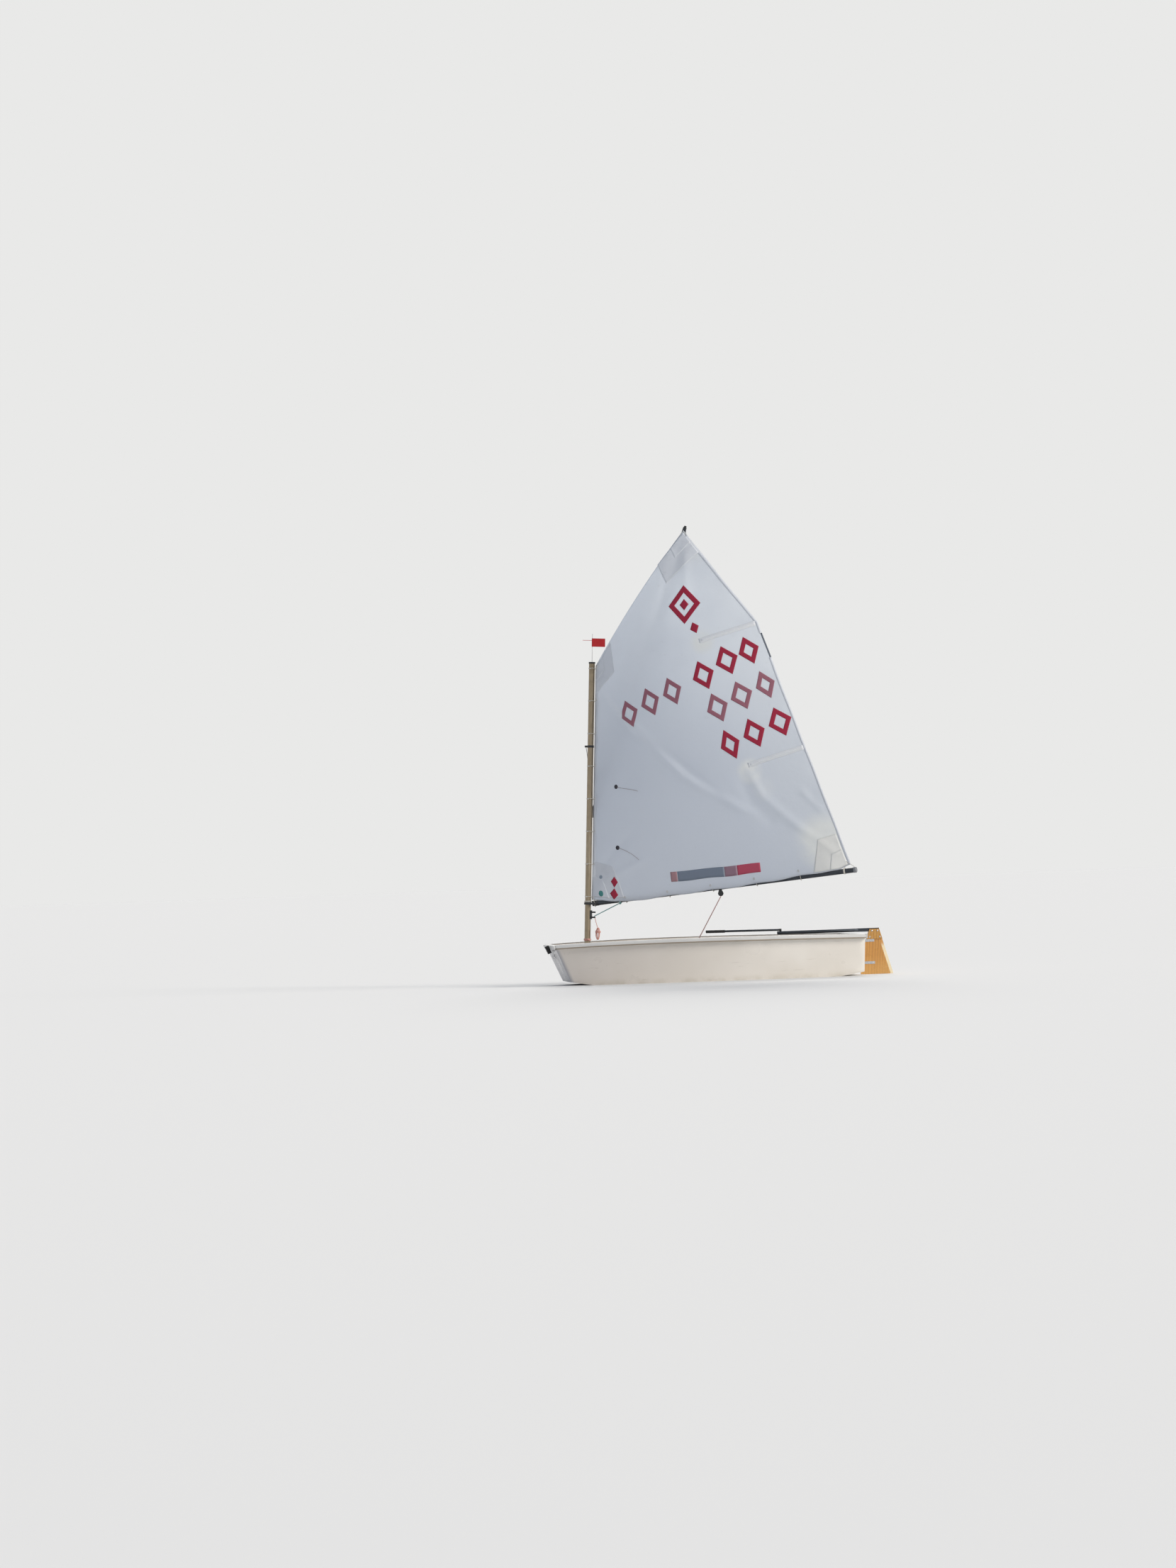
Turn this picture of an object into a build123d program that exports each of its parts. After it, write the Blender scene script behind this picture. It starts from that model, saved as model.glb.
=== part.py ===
from build123d import *
import os
from math import atan2, cos, degrees, hypot, radians, sin, sqrt, tan

# A small flat-bottomed pram dinghy with a spritsail, afloat and rigged.
# Millimetres. Origin amidships on the centreline at the waterline:
# +X towards the bow, +Y to port, +Z up.

# Hull form
HULL_LENGTH = 2300.0        # between the tops of the two transoms
HULL_BEAM = 1060.0          # over the side panels, at the sheer
BOW_RAKE = 23.7             # degrees, the bow transom's top leans forward
BOTTOM_THICKNESS = 9.0
SEAM = 0.03                 # glue line between the bottom and what stands on it
SIDE_THICKNESS = 8.0
TRANSOM_THICKNESS = 12.0
END_ALLOWANCE = 1.03        # the lofts run a little past both transoms
# share of the half length, sheer breadth share, sheer height, chine breadth share, chine height
STATIONS = (
    (-END_ALLOWANCE, 0.845, 309.0, 0.700, 35.0),
    (-0.52, 0.972, 318.0, 0.802, -45.0),
    (0.00, 1.000, 323.0, 0.813, -70.0),
    (0.52, 0.858, 320.0, 0.689, -35.0),
    (END_ALLOWANCE, 0.526, 302.0, 0.372, 54.0),
)

# Gunwale
GUNWALE_WIDTH = 34.0
GUNWALE_DEPTH = 32.0
GUNWALE_CAP = 6.0
GUNWALE_INNER_LIP = 8.0
END_GUNWALE_WIDTH = 12.0
END_GUNWALE_LEDGE = 26.0
LEDGE_GAP = 1.0             # between an end ledge and the side gunwales

# Mast, thwart and step
MAST_FROM_BOW = 285.0       # mast axis aft of the bow's top edge, at deck height
DECK_HEIGHT = 320.0         # height where that distance is taken
MAST_RAKE = 2.9
MAST_DIAMETER = 45.0
MAST_WALL = 1.6
MAST_ABOVE_DECK = 2068.0
MAST_BELOW_DECK = 275.0
MAST_CLEARANCE = 0.4
THWART_TOP = 288.0
THWART_THICKNESS = 24.0
THWART_WIDTH = 130.0
COLLAR_RADIUS = 33.0
COLLAR_FLANGE = 9.0
COLLAR_RISE = 9.0
COLLAR_REBATE = 3.0         # the flange is let into the thwart
COLLAR_REBATE_GAP = 0.6
STEP_SIZE = 90.0
STEP_TOP = 68.0

# Daggerboard, its case and the bulkhead
BOARD_CHORD = 285.0
BOARD_LENGTH = 1060.0
BOARD_THICKNESS = 15.0
BOARD_TOP = 318.0
BOARD_CORNER = 45.0
BOARD_SIDE_CLEARANCE = 3.0
BOARD_END_CLEARANCE = 5.0
CASE_WALL = 9.0
CASE_END = 22.0
CASE_TOP = 262.0
CAP_THICKNESS = 10.0
CAP_OVERHANG = 11.0
STOP_HEIGHT = 24.0
STOP_WIDTH = 20.0
BULKHEAD_AFT_FACE = 72.0
BULKHEAD_THICKNESS = 14.0
BULKHEAD_TOP = 250.0
BULKHEAD_FLANGE = 62.0
BULKHEAD_FLANGE_THICKNESS = 12.0
LIMBER_RADIUS = 24.0
LIMBER_SPREAD = 125.0

# Buoyancy bags and straps
SIDE_BAG_RADIUS = 108.0
SIDE_BAG_LENGTH = 1040.0
SIDE_BAG_END_GAP = 9.0      # between the bag and the bulkhead's flange
SIDE_BAG_HEIGHT = 172.0
BOW_BAG_RADIUS = 54.0
BOW_BAG_LENGTH = 400.0
BAG_WALL = 2.0
# share of the radius, and share of the radius in from the end, down a bag's rounded end
BAG_END_PROFILE = ((0.0, 0.0), (0.72, 0.0), (1.0, 0.40))
STRAP_WIDTH = 45.0
SIDE_STRAP_SHARES = (-0.41, 0.0, 0.41)
BOW_STRAP_SHARES = (-0.25, 0.25)
STRAP_THICKNESS = 2.2
STRAP_STEPS = 16
SOFT_GAP = 0.3
SIDE_BAG_GAP = 1.3          # between the bag and the side panel
SIDE_STRAP_ARC = (5.0, 325.0)     # degrees about the bag, from outboard over the top to below
BOW_STRAP_ARC = (-20.0, 225.0)
HIKING_STRAP_SPREAD = 62.0
HIKING_STRAP_WIDTH = 48.0
HIKING_STRAP_THICKNESS = 3.0
HIKING_STRAP_FORE = 10.0
HIKING_STRAP_AFT = 120.0

# Rudder, its fittings and the tiller
RUDDER_AXIS_GAP = 29.0      # turning axis aft of the stern transom
RUDDER_EDGE_GAP = 11.0      # blade's leading edge aft of that axis
BLADE_THICKNESS = 14.0
BLADE_TOP_CHORD = 74.0
HEAD_SETBACK = 75.0         # the head's fore edge aft of the blade's at its top
HEAD_FOOT = 112.0           # height where that edge starts to lean aft
BLADE_CHORD = 245.0
BLADE_TOP = 338.0
BLADE_BOTTOM = -430.0
BLADE_SWEEP = 16.4          # degrees, the trailing edge's slope
BLADE_CORNER = 55.0
BEVEL_WIDTH = 22.0          # of the trailing edge
BEVEL_EDGE = 5.0            # thickness left there
CHEEK_THICKNESS = 8.0
CHEEK_BOTTOM = 262.0
GUDGEON_HEIGHTS = (66.0, 232.0)
EYE_RADIUS = 9.0
EYE_HEIGHT = 20.0
PIN_RADIUS = 4.0
PIN_CLEARANCE = 0.08
FITTING_PLATE = 2.5
FITTING_HEIGHT = 24.0
FITTING_GAP = 0.3
GUDGEON_WIDTH = 64.0
WEB_WIDTH = 10.8            # between a gudgeon's eye and its plate
WEB_HEIGHT = 14.0
PINTLE_HEIGHT = 19.2
PINTLE_STRAP = 110.0
PIN_HEAD = 1.0              # of the pin inside its block
TILLER_HEIGHT = 332.0
TILLER_LENGTH = 612.0
TILLER_DIAMETER = 25.0
TONGUE_HEIGHT = 26.0
EXTENSION_LENGTH = 620.0
EXTENSION_DIAMETER = 16.0
EXTENSION_ANGLE = 35.0      # degrees to starboard of straight ahead
SWIVEL_RISE = 2.0
GRIP_THICKNESS = 3.0
GRIP_LENGTH = 155.0

# Spars and sail, heights along the mast from the deck height
BOOM_ANGLE = 26.8           # degrees to port of straight aft
BOOM_LENGTH = 2043.0
BOOM_DIAMETER = 38.0
BOOM_WALL = 1.6
BOOM_DROP = 31.0            # boom axis below the sail's tack
BOOM_DROP_AT_CLEW = 45.0
BOOM_START = 30.0           # the tube's fore end, aft of the tack
JAW_SOCKET_START = 8.0
TACK_HEIGHT = 312.0
LUFF_LENGTH = 1738.0
LUFF_GAP = 7.5              # between the mast and the sail's luff
CLEW_REACH = 2032.0
CLEW_HEIGHT = 599.0
PEAK_REACH = 752.0
PEAK_HEIGHT = 3046.0
PEAK_TWIST = 9.3
SAIL_THICKNESS = 4.0
# share up the luff, leech reach, leech height, twist, camber share
SAIL_ROWS = (
    (0.00, CLEW_REACH, CLEW_HEIGHT, 0.0, 0.012),
    (0.35, 1695.0, 1478.0, 3.4, 0.085),
    (0.70, 1357.0, 2358.0, 7.0, 0.095),
    (1.00, PEAK_REACH, PEAK_HEIGHT, PEAK_TWIST, 0.040),
)
TIE_COUNT = 8
TIE_FIRST = 19.0
TIE_HEIGHT = 9.0
TIE_THICKNESS = 1.8
TIE_SIDES = 10
SPRIT_LENGTH = 2286.0
SPRIT_DIAMETER = 27.5
SPRIT_WALL = 1.4
SPRIT_TIP_OVERRUN = 34.0
SPRIT_HEEL_GAP = 0.9
SPRIT_PLUG = 20.0
SPRIT_PLUG_COLLAR = 6.0
SNOTTER_EYE_HEIGHT = 1450.0
VANG_CLEAT_HEIGHT = 165.0
BLOCK_REACH = 1010.0
SHEAVE_RADIUS = 20.0
SHEAVE_WIDTH = 9.0
RATCHET_RADIUS = 28.0
RATCHET_FOOT = 38.0
RATCHET_CHEEK = 4.0
BLOCK_CHEEK = 3.0
BLOCK_HANG = 8.0
BLOCK_BAND = (1.6, 22.0)    # thickness and width round the boom
SHEAVE_SHARE = 0.8          # of the cheeks' radius
NECK_SHARE = 0.45

MAST_CAP = (2.0, 12.0)       # rim and height
SNOTTER_RING = (2.5, 16.0)
SNOTTER_EAR = (22.0, 8.0, 14.0)
SNOTTER_EAR_ROOT = 1.0
CLEAT_PAD = (10.0, 26.0, 66.0)
CLEAT_HORN = (34.0, 20.0, 12.0)
CLEAT_HORN_HEIGHTS = (8.0, 46.0)
CLEAT_HORN_ROOT = 4.0
CLEAT_ROOT = 3.0             # of the pad inside the mast's line, cut to the mast
SEAT_GAP = 0.05              # round a spar in its seat
JAW = (95.0, 16.0)           # length and thickness
JAW_WALL = 12.0
JAW_FORE = 22.0             # forward of the mast's axis
JAW_CORNER = 11.0
SOCKET_LENGTH = 48.0
SOCKET_WALL = 2.0
BOOM_CAP_LENGTH = 22.0
BOOM_CAP_CHAMFER = 4.0
PEG_SHARE = 0.6              # of the sprit's radius

# Wind indicator on the masthead
ROD_RADIUS = 2.0
ROD_LENGTH = 222.0
VANE_HEIGHT = 158.0
FLAG_LENGTH = 93.0
FLAG_HEIGHT = 62.0
FLAG_THICKNESS = 1.6
POINTER_LENGTH = 70.0
POINTER_RADIUS = 1.5
VANE_SLEEVE = 2.5
VANE_ROOT = 1.0              # of the flag and the pointer inside the sleeve

# Bow
FENDER_SIZE = (26.0, 62.0, 58.0)
PAINTER_EYE_BORE = 7.0
PAINTER_EYE_WIRE = 4.0
PAINTER_EYE_BELOW_SHEER = 95.0
PAINTER_PAD = (3.0, 22.0, 34.0)

UP = (Align.CENTER, Align.CENTER, Align.MIN)
DOWN = (Align.CENTER, Align.CENTER, Align.MAX)
FORE = (Align.MIN, Align.CENTER, Align.CENTER)
AFT = (Align.MAX, Align.CENTER, Align.CENTER)

HALF_LENGTH = HULL_LENGTH / 2
HALF_BEAM = HULL_BEAM / 2
MAST_X = HALF_LENGTH - MAST_FROM_BOW
MAST_RADIUS = MAST_DIAMETER / 2
BOOM_RADIUS = BOOM_DIAMETER / 2
LUFF_OFFSET = MAST_RADIUS + LUFF_GAP
RUDDER_AXIS_X = -HALF_LENGTH - RUDDER_AXIS_GAP
BLADE_EDGE_X = RUDDER_AXIS_X - RUDDER_EDGE_GAP
SLOT_WIDTH = BOARD_THICKNESS + 2 * BOARD_SIDE_CLEARANCE
SLOT_LENGTH = BOARD_CHORD + 2 * BOARD_END_CLEARANCE
CASE_AFT = BULKHEAD_AFT_FACE + BULKHEAD_THICKNESS
CASE_FORE = CASE_AFT + 2 * CASE_END + SLOT_LENGTH
BOARD_CENTRE_X = (CASE_AFT + CASE_FORE) / 2
SIDE_BAG_CENTRE = CASE_AFT - BULKHEAD_FLANGE - SIDE_BAG_END_GAP - SIDE_BAG_LENGTH / 2
BOOM_RISE = CLEW_HEIGHT - BOOM_DROP_AT_CLEW - (TACK_HEIGHT - BOOM_DROP)
BOOM_SLOPE = degrees(atan2(BOOM_RISE, CLEW_REACH - LUFF_OFFSET))
FAR = 3000.0

MAST_FRAME = Location((MAST_X, 0, DECK_HEIGHT), (0, -MAST_RAKE, 0))
RIG_FRAME = MAST_FRAME * Location((0, 0, 0), (0, 0, -BOOM_ANGLE))


def hull_form(x):
    """Sheer half breadth, sheer height, chine half breadth and chine height at x."""
    values = [0.0, 0.0, 0.0, 0.0]
    for row in STATIONS:
        weight = 1.0
        for other in STATIONS:
            if other is not row:
                weight *= (x / HALF_LENGTH - other[0]) / (row[0] - other[0])
        sizes = (row[1] * HALF_BEAM, row[2], row[3] * HALF_BEAM, row[4])
        values = [v + weight * s for v, s in zip(values, sizes)]
    return values


def floor_height(x):
    return hull_form(x)[3] + BOTTOM_THICKNESS


def inner_breadth(x, z):
    sheer_y, sheer_z, chine_y, chine_z = hull_form(x)
    flare = (sheer_y - chine_y) / (sheer_z - chine_z)
    return chine_y + (z - chine_z) * flare - SIDE_THICKNESS


def hull_loft(outline):
    """A loft through the outline that each station gives, trimmed or not by its caller."""
    wires = []
    for share, sheer_share, sheer_z, chine_share, chine_z in STATIONS:
        sheer_y = sheer_share * HALF_BEAM
        chine_y = chine_share * HALF_BEAM
        flare = (sheer_y - chine_y) / (sheer_z - chine_z)
        points = outline(sheer_y, sheer_z, chine_y, chine_z, flare)
        wires.append(Polyline(*[(share * HALF_LENGTH, y, z) for y, z in points], close=True).wire())
    return Solid.make_loft(wires)


def bow_slab(thickness, outward):
    """A slab along the bow transom's outer face, on its outer or its inner side."""
    side = Align.MIN if outward else Align.MAX
    slab = Box(thickness, FAR, FAR, align=(side, Align.CENTER, Align.CENTER))
    return Location((HALF_LENGTH, 0, hull_form(HALF_LENGTH)[1]), (0, BOW_RAKE, 0)) * slab


def stern_slab(thickness, outward):
    side = Align.MAX if outward else Align.MIN
    slab = Box(thickness, FAR, FAR, align=(side, Align.CENTER, Align.CENTER))
    return Location((-HALF_LENGTH, 0, 0)) * slab


def between_transoms(solid):
    return solid - bow_slab(FAR, True) - stern_slab(FAR, True)


def bottom_outline(sheer_y, sheer_z, chine_y, chine_z, flare):
    top_y = chine_y + flare * BOTTOM_THICKNESS
    top_z = chine_z + BOTTOM_THICKNESS
    return ((-chine_y, chine_z), (chine_y, chine_z), (top_y, top_z), (-top_y, top_z))


def side_outline(sheer_y, sheer_z, chine_y, chine_z, flare):
    low_y = chine_y + flare * BOTTOM_THICKNESS
    high_y = sheer_y - flare * GUNWALE_CAP
    low_z = chine_z + BOTTOM_THICKNESS
    high_z = sheer_z - GUNWALE_CAP
    inner_low = (low_y - SIDE_THICKNESS, low_z)
    inner_high = (high_y - SIDE_THICKNESS, high_z)
    return (inner_low, (low_y, low_z), (high_y, high_z), inner_high)


def inside_outline(sheer_y, sheer_z, chine_y, chine_z, flare):
    low_y = chine_y + flare * BOTTOM_THICKNESS - SIDE_THICKNESS
    high_y = sheer_y - flare * GUNWALE_CAP - SIDE_THICKNESS
    low_z = chine_z + BOTTOM_THICKNESS + SEAM
    high_z = sheer_z - GUNWALE_CAP
    return ((-low_y, low_z), (low_y, low_z), (high_y, high_z), (-high_y, high_z))


def gunwale_outline(sheer_y, sheer_z, chine_y, chine_z, flare):
    edge_y = sheer_y + GUNWALE_WIDTH
    low_z = sheer_z - GUNWALE_DEPTH
    cap_z = sheer_z - GUNWALE_CAP
    lip_y = sheer_y - flare * GUNWALE_CAP - SIDE_THICKNESS - GUNWALE_INNER_LIP
    round_y = GUNWALE_WIDTH / 4
    round_z = GUNWALE_DEPTH / 4
    return (
        (lip_y, cap_z), (sheer_y - flare * GUNWALE_CAP, cap_z), (sheer_y - flare * GUNWALE_DEPTH, low_z),
        (edge_y - round_y, low_z), (edge_y, low_z + round_z), (edge_y, sheer_z - round_z),
        (edge_y - round_y, sheer_z), (lip_y, sheer_z),
    )


INSIDE = hull_loft(inside_outline)


def fitted_box(x_low, x_high, z_low, z_high, width=FAR):
    """A box across the hull, cut to the inside of the side panels and the bottom."""
    block = Box(x_high - x_low, width, z_high - z_low)
    block = Location(((x_low + x_high) / 2, 0, (z_low + z_high) / 2)) * block
    return block & INSIDE


def along_mast(radius, low, high):
    rod = Cylinder(radius, high - low, align=UP)
    return MAST_FRAME * Location((0, 0, low)) * rod


def board_slot(z_low, z_high):
    slot = Box(SLOT_LENGTH, SLOT_WIDTH, z_high - z_low)
    return Location((BOARD_CENTRE_X, 0, (z_low + z_high) / 2)) * slot


def hull_bottom():
    return between_transoms(hull_loft(bottom_outline)) - board_slot(-FAR / 2, CASE_TOP)


def side_port():
    return between_transoms(hull_loft(side_outline))


def gunwale_port():
    return between_transoms(hull_loft(gunwale_outline))


def under_cap(x):
    """The space below the cap of the gunwale that crosses the hull at x."""
    space = Box(FAR, FAR, FAR, align=DOWN)
    return Location((0, 0, hull_form(x)[1] - GUNWALE_CAP)) * space


def bow_transom():
    return bow_slab(TRANSOM_THICKNESS, False) & INSIDE & under_cap(HALF_LENGTH)


def stern_transom():
    return stern_slab(TRANSOM_THICKNESS, False) & INSIDE & under_cap(-HALF_LENGTH)


def end_breadths(x):
    sheer_y, sheer_z, chine_y, chine_z = hull_form(x)
    flare = (sheer_y - chine_y) / (sheer_z - chine_z)
    lip_breadth = sheer_y - flare * GUNWALE_CAP - SIDE_THICKNESS - GUNWALE_INNER_LIP - LEDGE_GAP
    return sheer_y + GUNWALE_WIDTH, lip_breadth, sheer_z


def bow_gunwale():
    """The strake across the bow transom and the ledge that caps the panel between the side gunwales."""
    breadth, lip_breadth, height = end_breadths(HALF_LENGTH)
    place = Location((HALF_LENGTH, 0, height))
    strake = Box(END_GUNWALE_WIDTH, 2 * breadth, GUNWALE_DEPTH, align=(Align.MIN, Align.CENTER, Align.MAX))
    strake = place * Location((0, 0, 0), (0, BOW_RAKE, 0)) * strake
    ledge = Box(2 * END_GUNWALE_LEDGE, 2 * lip_breadth, GUNWALE_CAP, align=DOWN)
    return strake + (place * ledge - bow_slab(FAR, True))


def stern_gunwale():
    breadth, lip_breadth, height = end_breadths(-HALF_LENGTH)
    strake = Box(END_GUNWALE_WIDTH, 2 * breadth, GUNWALE_DEPTH, align=(Align.MAX, Align.CENTER, Align.MAX))
    ledge = Box(END_GUNWALE_LEDGE, 2 * lip_breadth, GUNWALE_CAP, align=(Align.MIN, Align.CENTER, Align.MAX))
    return Location((-HALF_LENGTH, 0, height)) * (strake + ledge)


def mast_thwart():
    half = THWART_WIDTH / 2
    plank = fitted_box(MAST_X - half, MAST_X + half, THWART_TOP - THWART_THICKNESS, THWART_TOP)
    hole = Cylinder(COLLAR_RADIUS, FAR)
    rebate = Cylinder(COLLAR_RADIUS + COLLAR_FLANGE + COLLAR_REBATE_GAP, 2 * COLLAR_REBATE)
    return plank - Location((MAST_X, 0, THWART_TOP)) * (hole + rebate)


def mast_collar():
    sleeve = Cylinder(COLLAR_RADIUS, THWART_THICKNESS, align=DOWN)
    flange_depth = COLLAR_RISE + COLLAR_REBATE
    flange = Cylinder(COLLAR_RADIUS + COLLAR_FLANGE, flange_depth, align=DOWN)
    collar = Location((MAST_X, 0, THWART_TOP)) * (sleeve + Location((0, 0, COLLAR_RISE)) * flange)
    return collar - along_mast(MAST_RADIUS + MAST_CLEARANCE, -MAST_BELOW_DECK, MAST_ABOVE_DECK)


def mast_step():
    foot = MAST_FRAME * Location((0, 0, -MAST_BELOW_DECK))
    centre_x = foot.position.X
    half = STEP_SIZE / 2
    block = fitted_box(centre_x - half, centre_x + half, -half, STEP_TOP, STEP_SIZE)
    return block - along_mast(MAST_RADIUS + MAST_CLEARANCE, -MAST_BELOW_DECK - SOFT_GAP, 0)


def daggerboard_case():
    case = fitted_box(CASE_AFT, CASE_FORE, -HULL_BEAM / 4, CASE_TOP, SLOT_WIDTH + 2 * CASE_WALL)
    return case - board_slot(-FAR / 2, CASE_TOP)


def case_cap():
    length = CASE_FORE - CASE_AFT
    width = SLOT_WIDTH + 2 * CASE_WALL + 2 * CAP_OVERHANG
    cap = Box(length, width, CAP_THICKNESS, align=(Align.MIN, Align.CENTER, Align.MIN))
    cap = fillet(cap.edges().filter_by(Axis.Z), CAP_OVERHANG)
    return Location((CASE_AFT, 0, CASE_TOP)) * cap - board_slot(CASE_TOP, CASE_TOP + CAP_THICKNESS)


def mast_bearings():
    return Compound([mast_collar(), mast_step()])


def midship_bulkhead():
    aft = BULKHEAD_AFT_FACE
    panel = fitted_box(aft, aft + BULKHEAD_THICKNESS, -HULL_BEAM / 4, BULKHEAD_TOP)
    flange = fitted_box(aft + BULKHEAD_THICKNESS - BULKHEAD_FLANGE, aft + BULKHEAD_THICKNESS,
                        BULKHEAD_TOP - BULKHEAD_FLANGE_THICKNESS, BULKHEAD_TOP)
    bulkhead = panel + flange
    drain = Cylinder(LIMBER_RADIUS, 4 * BULKHEAD_THICKNESS, rotation=(0, 90, 0))
    for side in (-1, 1):
        bulkhead -= Location((aft, side * LIMBER_SPREAD, floor_height(aft))) * drain
    return bulkhead


def bag(radius, length):
    """An inflated bag along X with rounded ends, hollow as far as its straight part reaches."""
    half = length / 2
    fore = [(half - inset * radius, share * radius) for share, inset in BAG_END_PROFILE]
    aft = [(-x, y) for x, y in reversed(fore)]
    outer = revolve(make_face(Polyline(*(fore + aft), close=True)), Axis.X)
    straight = length - 2 * BAG_END_PROFILE[-1][1] * radius
    return outer - Cylinder(radius - BAG_WALL, straight, rotation=(0, 90, 0))


def strap_band(radius, arc):
    """A band of webbing round part of a bag that lies along X; the angles run from +Y to +Z."""
    start, end = arc
    step = (end - start) / STRAP_STEPS
    inner = (radius + SOFT_GAP) / cos(radians(step / 2))
    outer = inner + STRAP_THICKNESS
    rays = [radians(start + index * step) for index in range(STRAP_STEPS + 1)]
    near = [(0, inner * cos(ray), inner * sin(ray)) for ray in rays]
    far = [(0, outer * cos(ray), outer * sin(ray)) for ray in reversed(rays)]
    return extrude(make_face(Polyline(*near, *far, close=True)), STRAP_WIDTH / 2, dir=(1, 0, 0), both=True)


def side_bag_frame(side):
    """Where a side bag lies: the ends of its straight part clear the side panel by the same gap."""
    reach_x = SIDE_BAG_LENGTH / 2 - BAG_END_PROFILE[-1][1] * SIDE_BAG_RADIUS
    low_y = inner_breadth(SIDE_BAG_CENTRE - reach_x, SIDE_BAG_HEIGHT)
    high_y = inner_breadth(SIDE_BAG_CENTRE + reach_x, SIDE_BAG_HEIGHT)
    yaw = degrees(atan2(high_y - low_y, 2 * reach_x))
    sheer_y, sheer_z, chine_y, chine_z = hull_form(SIDE_BAG_CENTRE)
    lean = atan2(sheer_y - chine_y, sheer_z - chine_z)
    offset = (SIDE_BAG_RADIUS + SIDE_BAG_GAP) / cos(lean)
    y = (low_y + high_y) / 2 - offset
    return Location((SIDE_BAG_CENTRE, side * y, SIDE_BAG_HEIGHT), (0, 0, side * yaw))


def side_bag(side):
    return side_bag_frame(side) * bag(SIDE_BAG_RADIUS, SIDE_BAG_LENGTH)


def bow_bag_frame():
    """The bow bag lies across the hull on the floor, against the bow transom."""
    reach = BOW_BAG_RADIUS + 2 * SOFT_GAP + STRAP_THICKNESS
    rake = radians(BOW_RAKE)
    sheer_z = hull_form(HALF_LENGTH)[1]
    x = HALF_LENGTH - 2 * reach
    for _ in range(12):
        slope = (floor_height(x + 1) - floor_height(x - 1)) / 2
        z = floor_height(x) + reach * sqrt(1 + slope * slope)
        x = HALF_LENGTH - (sheer_z - z) * tan(rake) - (TRANSOM_THICKNESS + reach) / cos(rake)
    return Location((x, 0, z), (0, 0, 90))


def buoyancy_bags():
    return Compound([side_bag(1), side_bag(-1), bow_bag_frame() * bag(BOW_BAG_RADIUS, BOW_BAG_LENGTH)])


def bag_straps():
    bands = []
    for share in SIDE_STRAP_SHARES:
        place = side_bag_frame(1) * Location((share * SIDE_BAG_LENGTH, 0, 0))
        band = place * strap_band(SIDE_BAG_RADIUS, SIDE_STRAP_ARC)
        bands += [band, mirrored(band)]
    for share in BOW_STRAP_SHARES:
        place = bow_bag_frame() * Location((share * BOW_BAG_LENGTH, 0, 0))
        bands.append(place * strap_band(BOW_BAG_RADIUS, BOW_STRAP_ARC))
    return Compound(bands)


def hiking_straps():
    """Two taut bands of webbing from the bulkhead's foot to the stern transom."""
    fore_x = BULKHEAD_AFT_FACE
    aft_x = -HALF_LENGTH + TRANSOM_THICKNESS
    fore_z = floor_height(fore_x) + HIKING_STRAP_FORE + LIMBER_RADIUS
    aft_z = floor_height(aft_x) + HIKING_STRAP_AFT
    outline = Polyline((fore_x, 0, fore_z), (fore_x, 0, fore_z + HIKING_STRAP_THICKNESS),
                       (aft_x, 0, aft_z + HIKING_STRAP_THICKNESS), (aft_x, 0, aft_z), close=True)
    band = extrude(make_face(outline), HIKING_STRAP_WIDTH / 2, dir=(0, 1, 0), both=True)
    return Compound([Location((0, side * HIKING_STRAP_SPREAD, 0)) * band for side in (-1, 1)])


def transom_gudgeons():
    eyes = []
    for height in GUDGEON_HEIGHTS:
        eye = Cylinder(EYE_RADIUS, EYE_HEIGHT)
        web = Box(RUDDER_AXIS_GAP, WEB_WIDTH, WEB_HEIGHT, align=FORE)
        plate = Box(FITTING_PLATE, GUDGEON_WIDTH, FITTING_HEIGHT, align=AFT)
        fitting = eye + web + Location((RUDDER_AXIS_GAP, 0, 0)) * plate
        fitting -= Cylinder(PIN_RADIUS + PIN_CLEARANCE, FAR)
        eyes.append(Location((RUDDER_AXIS_X, 0, height)) * fitting)
    return Compound(eyes)


def rudder_pintles():
    pieces = []
    half = BLADE_THICKNESS / 2 + FITTING_PLATE
    block_low = EYE_HEIGHT / 2 + FITTING_GAP
    aft_up = (Align.MAX, Align.CENTER, Align.MIN)
    for height in GUDGEON_HEIGHTS:
        block = Box(EYE_RADIUS + RUDDER_EDGE_GAP, 2 * half, PINTLE_HEIGHT, align=aft_up)
        block = Location((EYE_RADIUS, 0, block_low)) * block
        pin = Cylinder(PIN_RADIUS, EYE_HEIGHT + 2 * block_low, align=DOWN)
        pin = Location((0, 0, block_low + PIN_HEAD)) * pin
        fitting = block + pin
        for side in (-1, 1):
            strap = Box(PINTLE_STRAP, FITTING_PLATE, PINTLE_HEIGHT, align=aft_up)
            y = side * (half - FITTING_PLATE / 2)
            fitting += Location((-RUDDER_EDGE_GAP, y, block_low)) * strap
        pieces.append(Location((RUDDER_AXIS_X, 0, height)) * fitting)
    return Compound(pieces)


def head_edges(height):
    """Where the head's fore and aft edges stand at a height above the knees of both."""
    lean = HEAD_SETBACK / (BLADE_TOP - HEAD_FOOT)
    fore = BLADE_EDGE_X - (height - HEAD_FOOT) * lean
    aft = BLADE_EDGE_X - HEAD_SETBACK - BLADE_TOP_CHORD - (BLADE_TOP - height) * tan(radians(BLADE_SWEEP))
    return fore, aft


def trailing_taper():
    """All that lies forward of a trailing edge along Z, and within its bevels."""
    half = BLADE_THICKNESS / 2
    edge = BEVEL_EDGE / 2
    outline = Polyline((0, edge), (BEVEL_WIDTH, half), (FAR, half), (FAR, -half), (BEVEL_WIDTH, -half),
                       (0, -edge), close=True)
    return extrude(make_face(outline), FAR, both=True)


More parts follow.
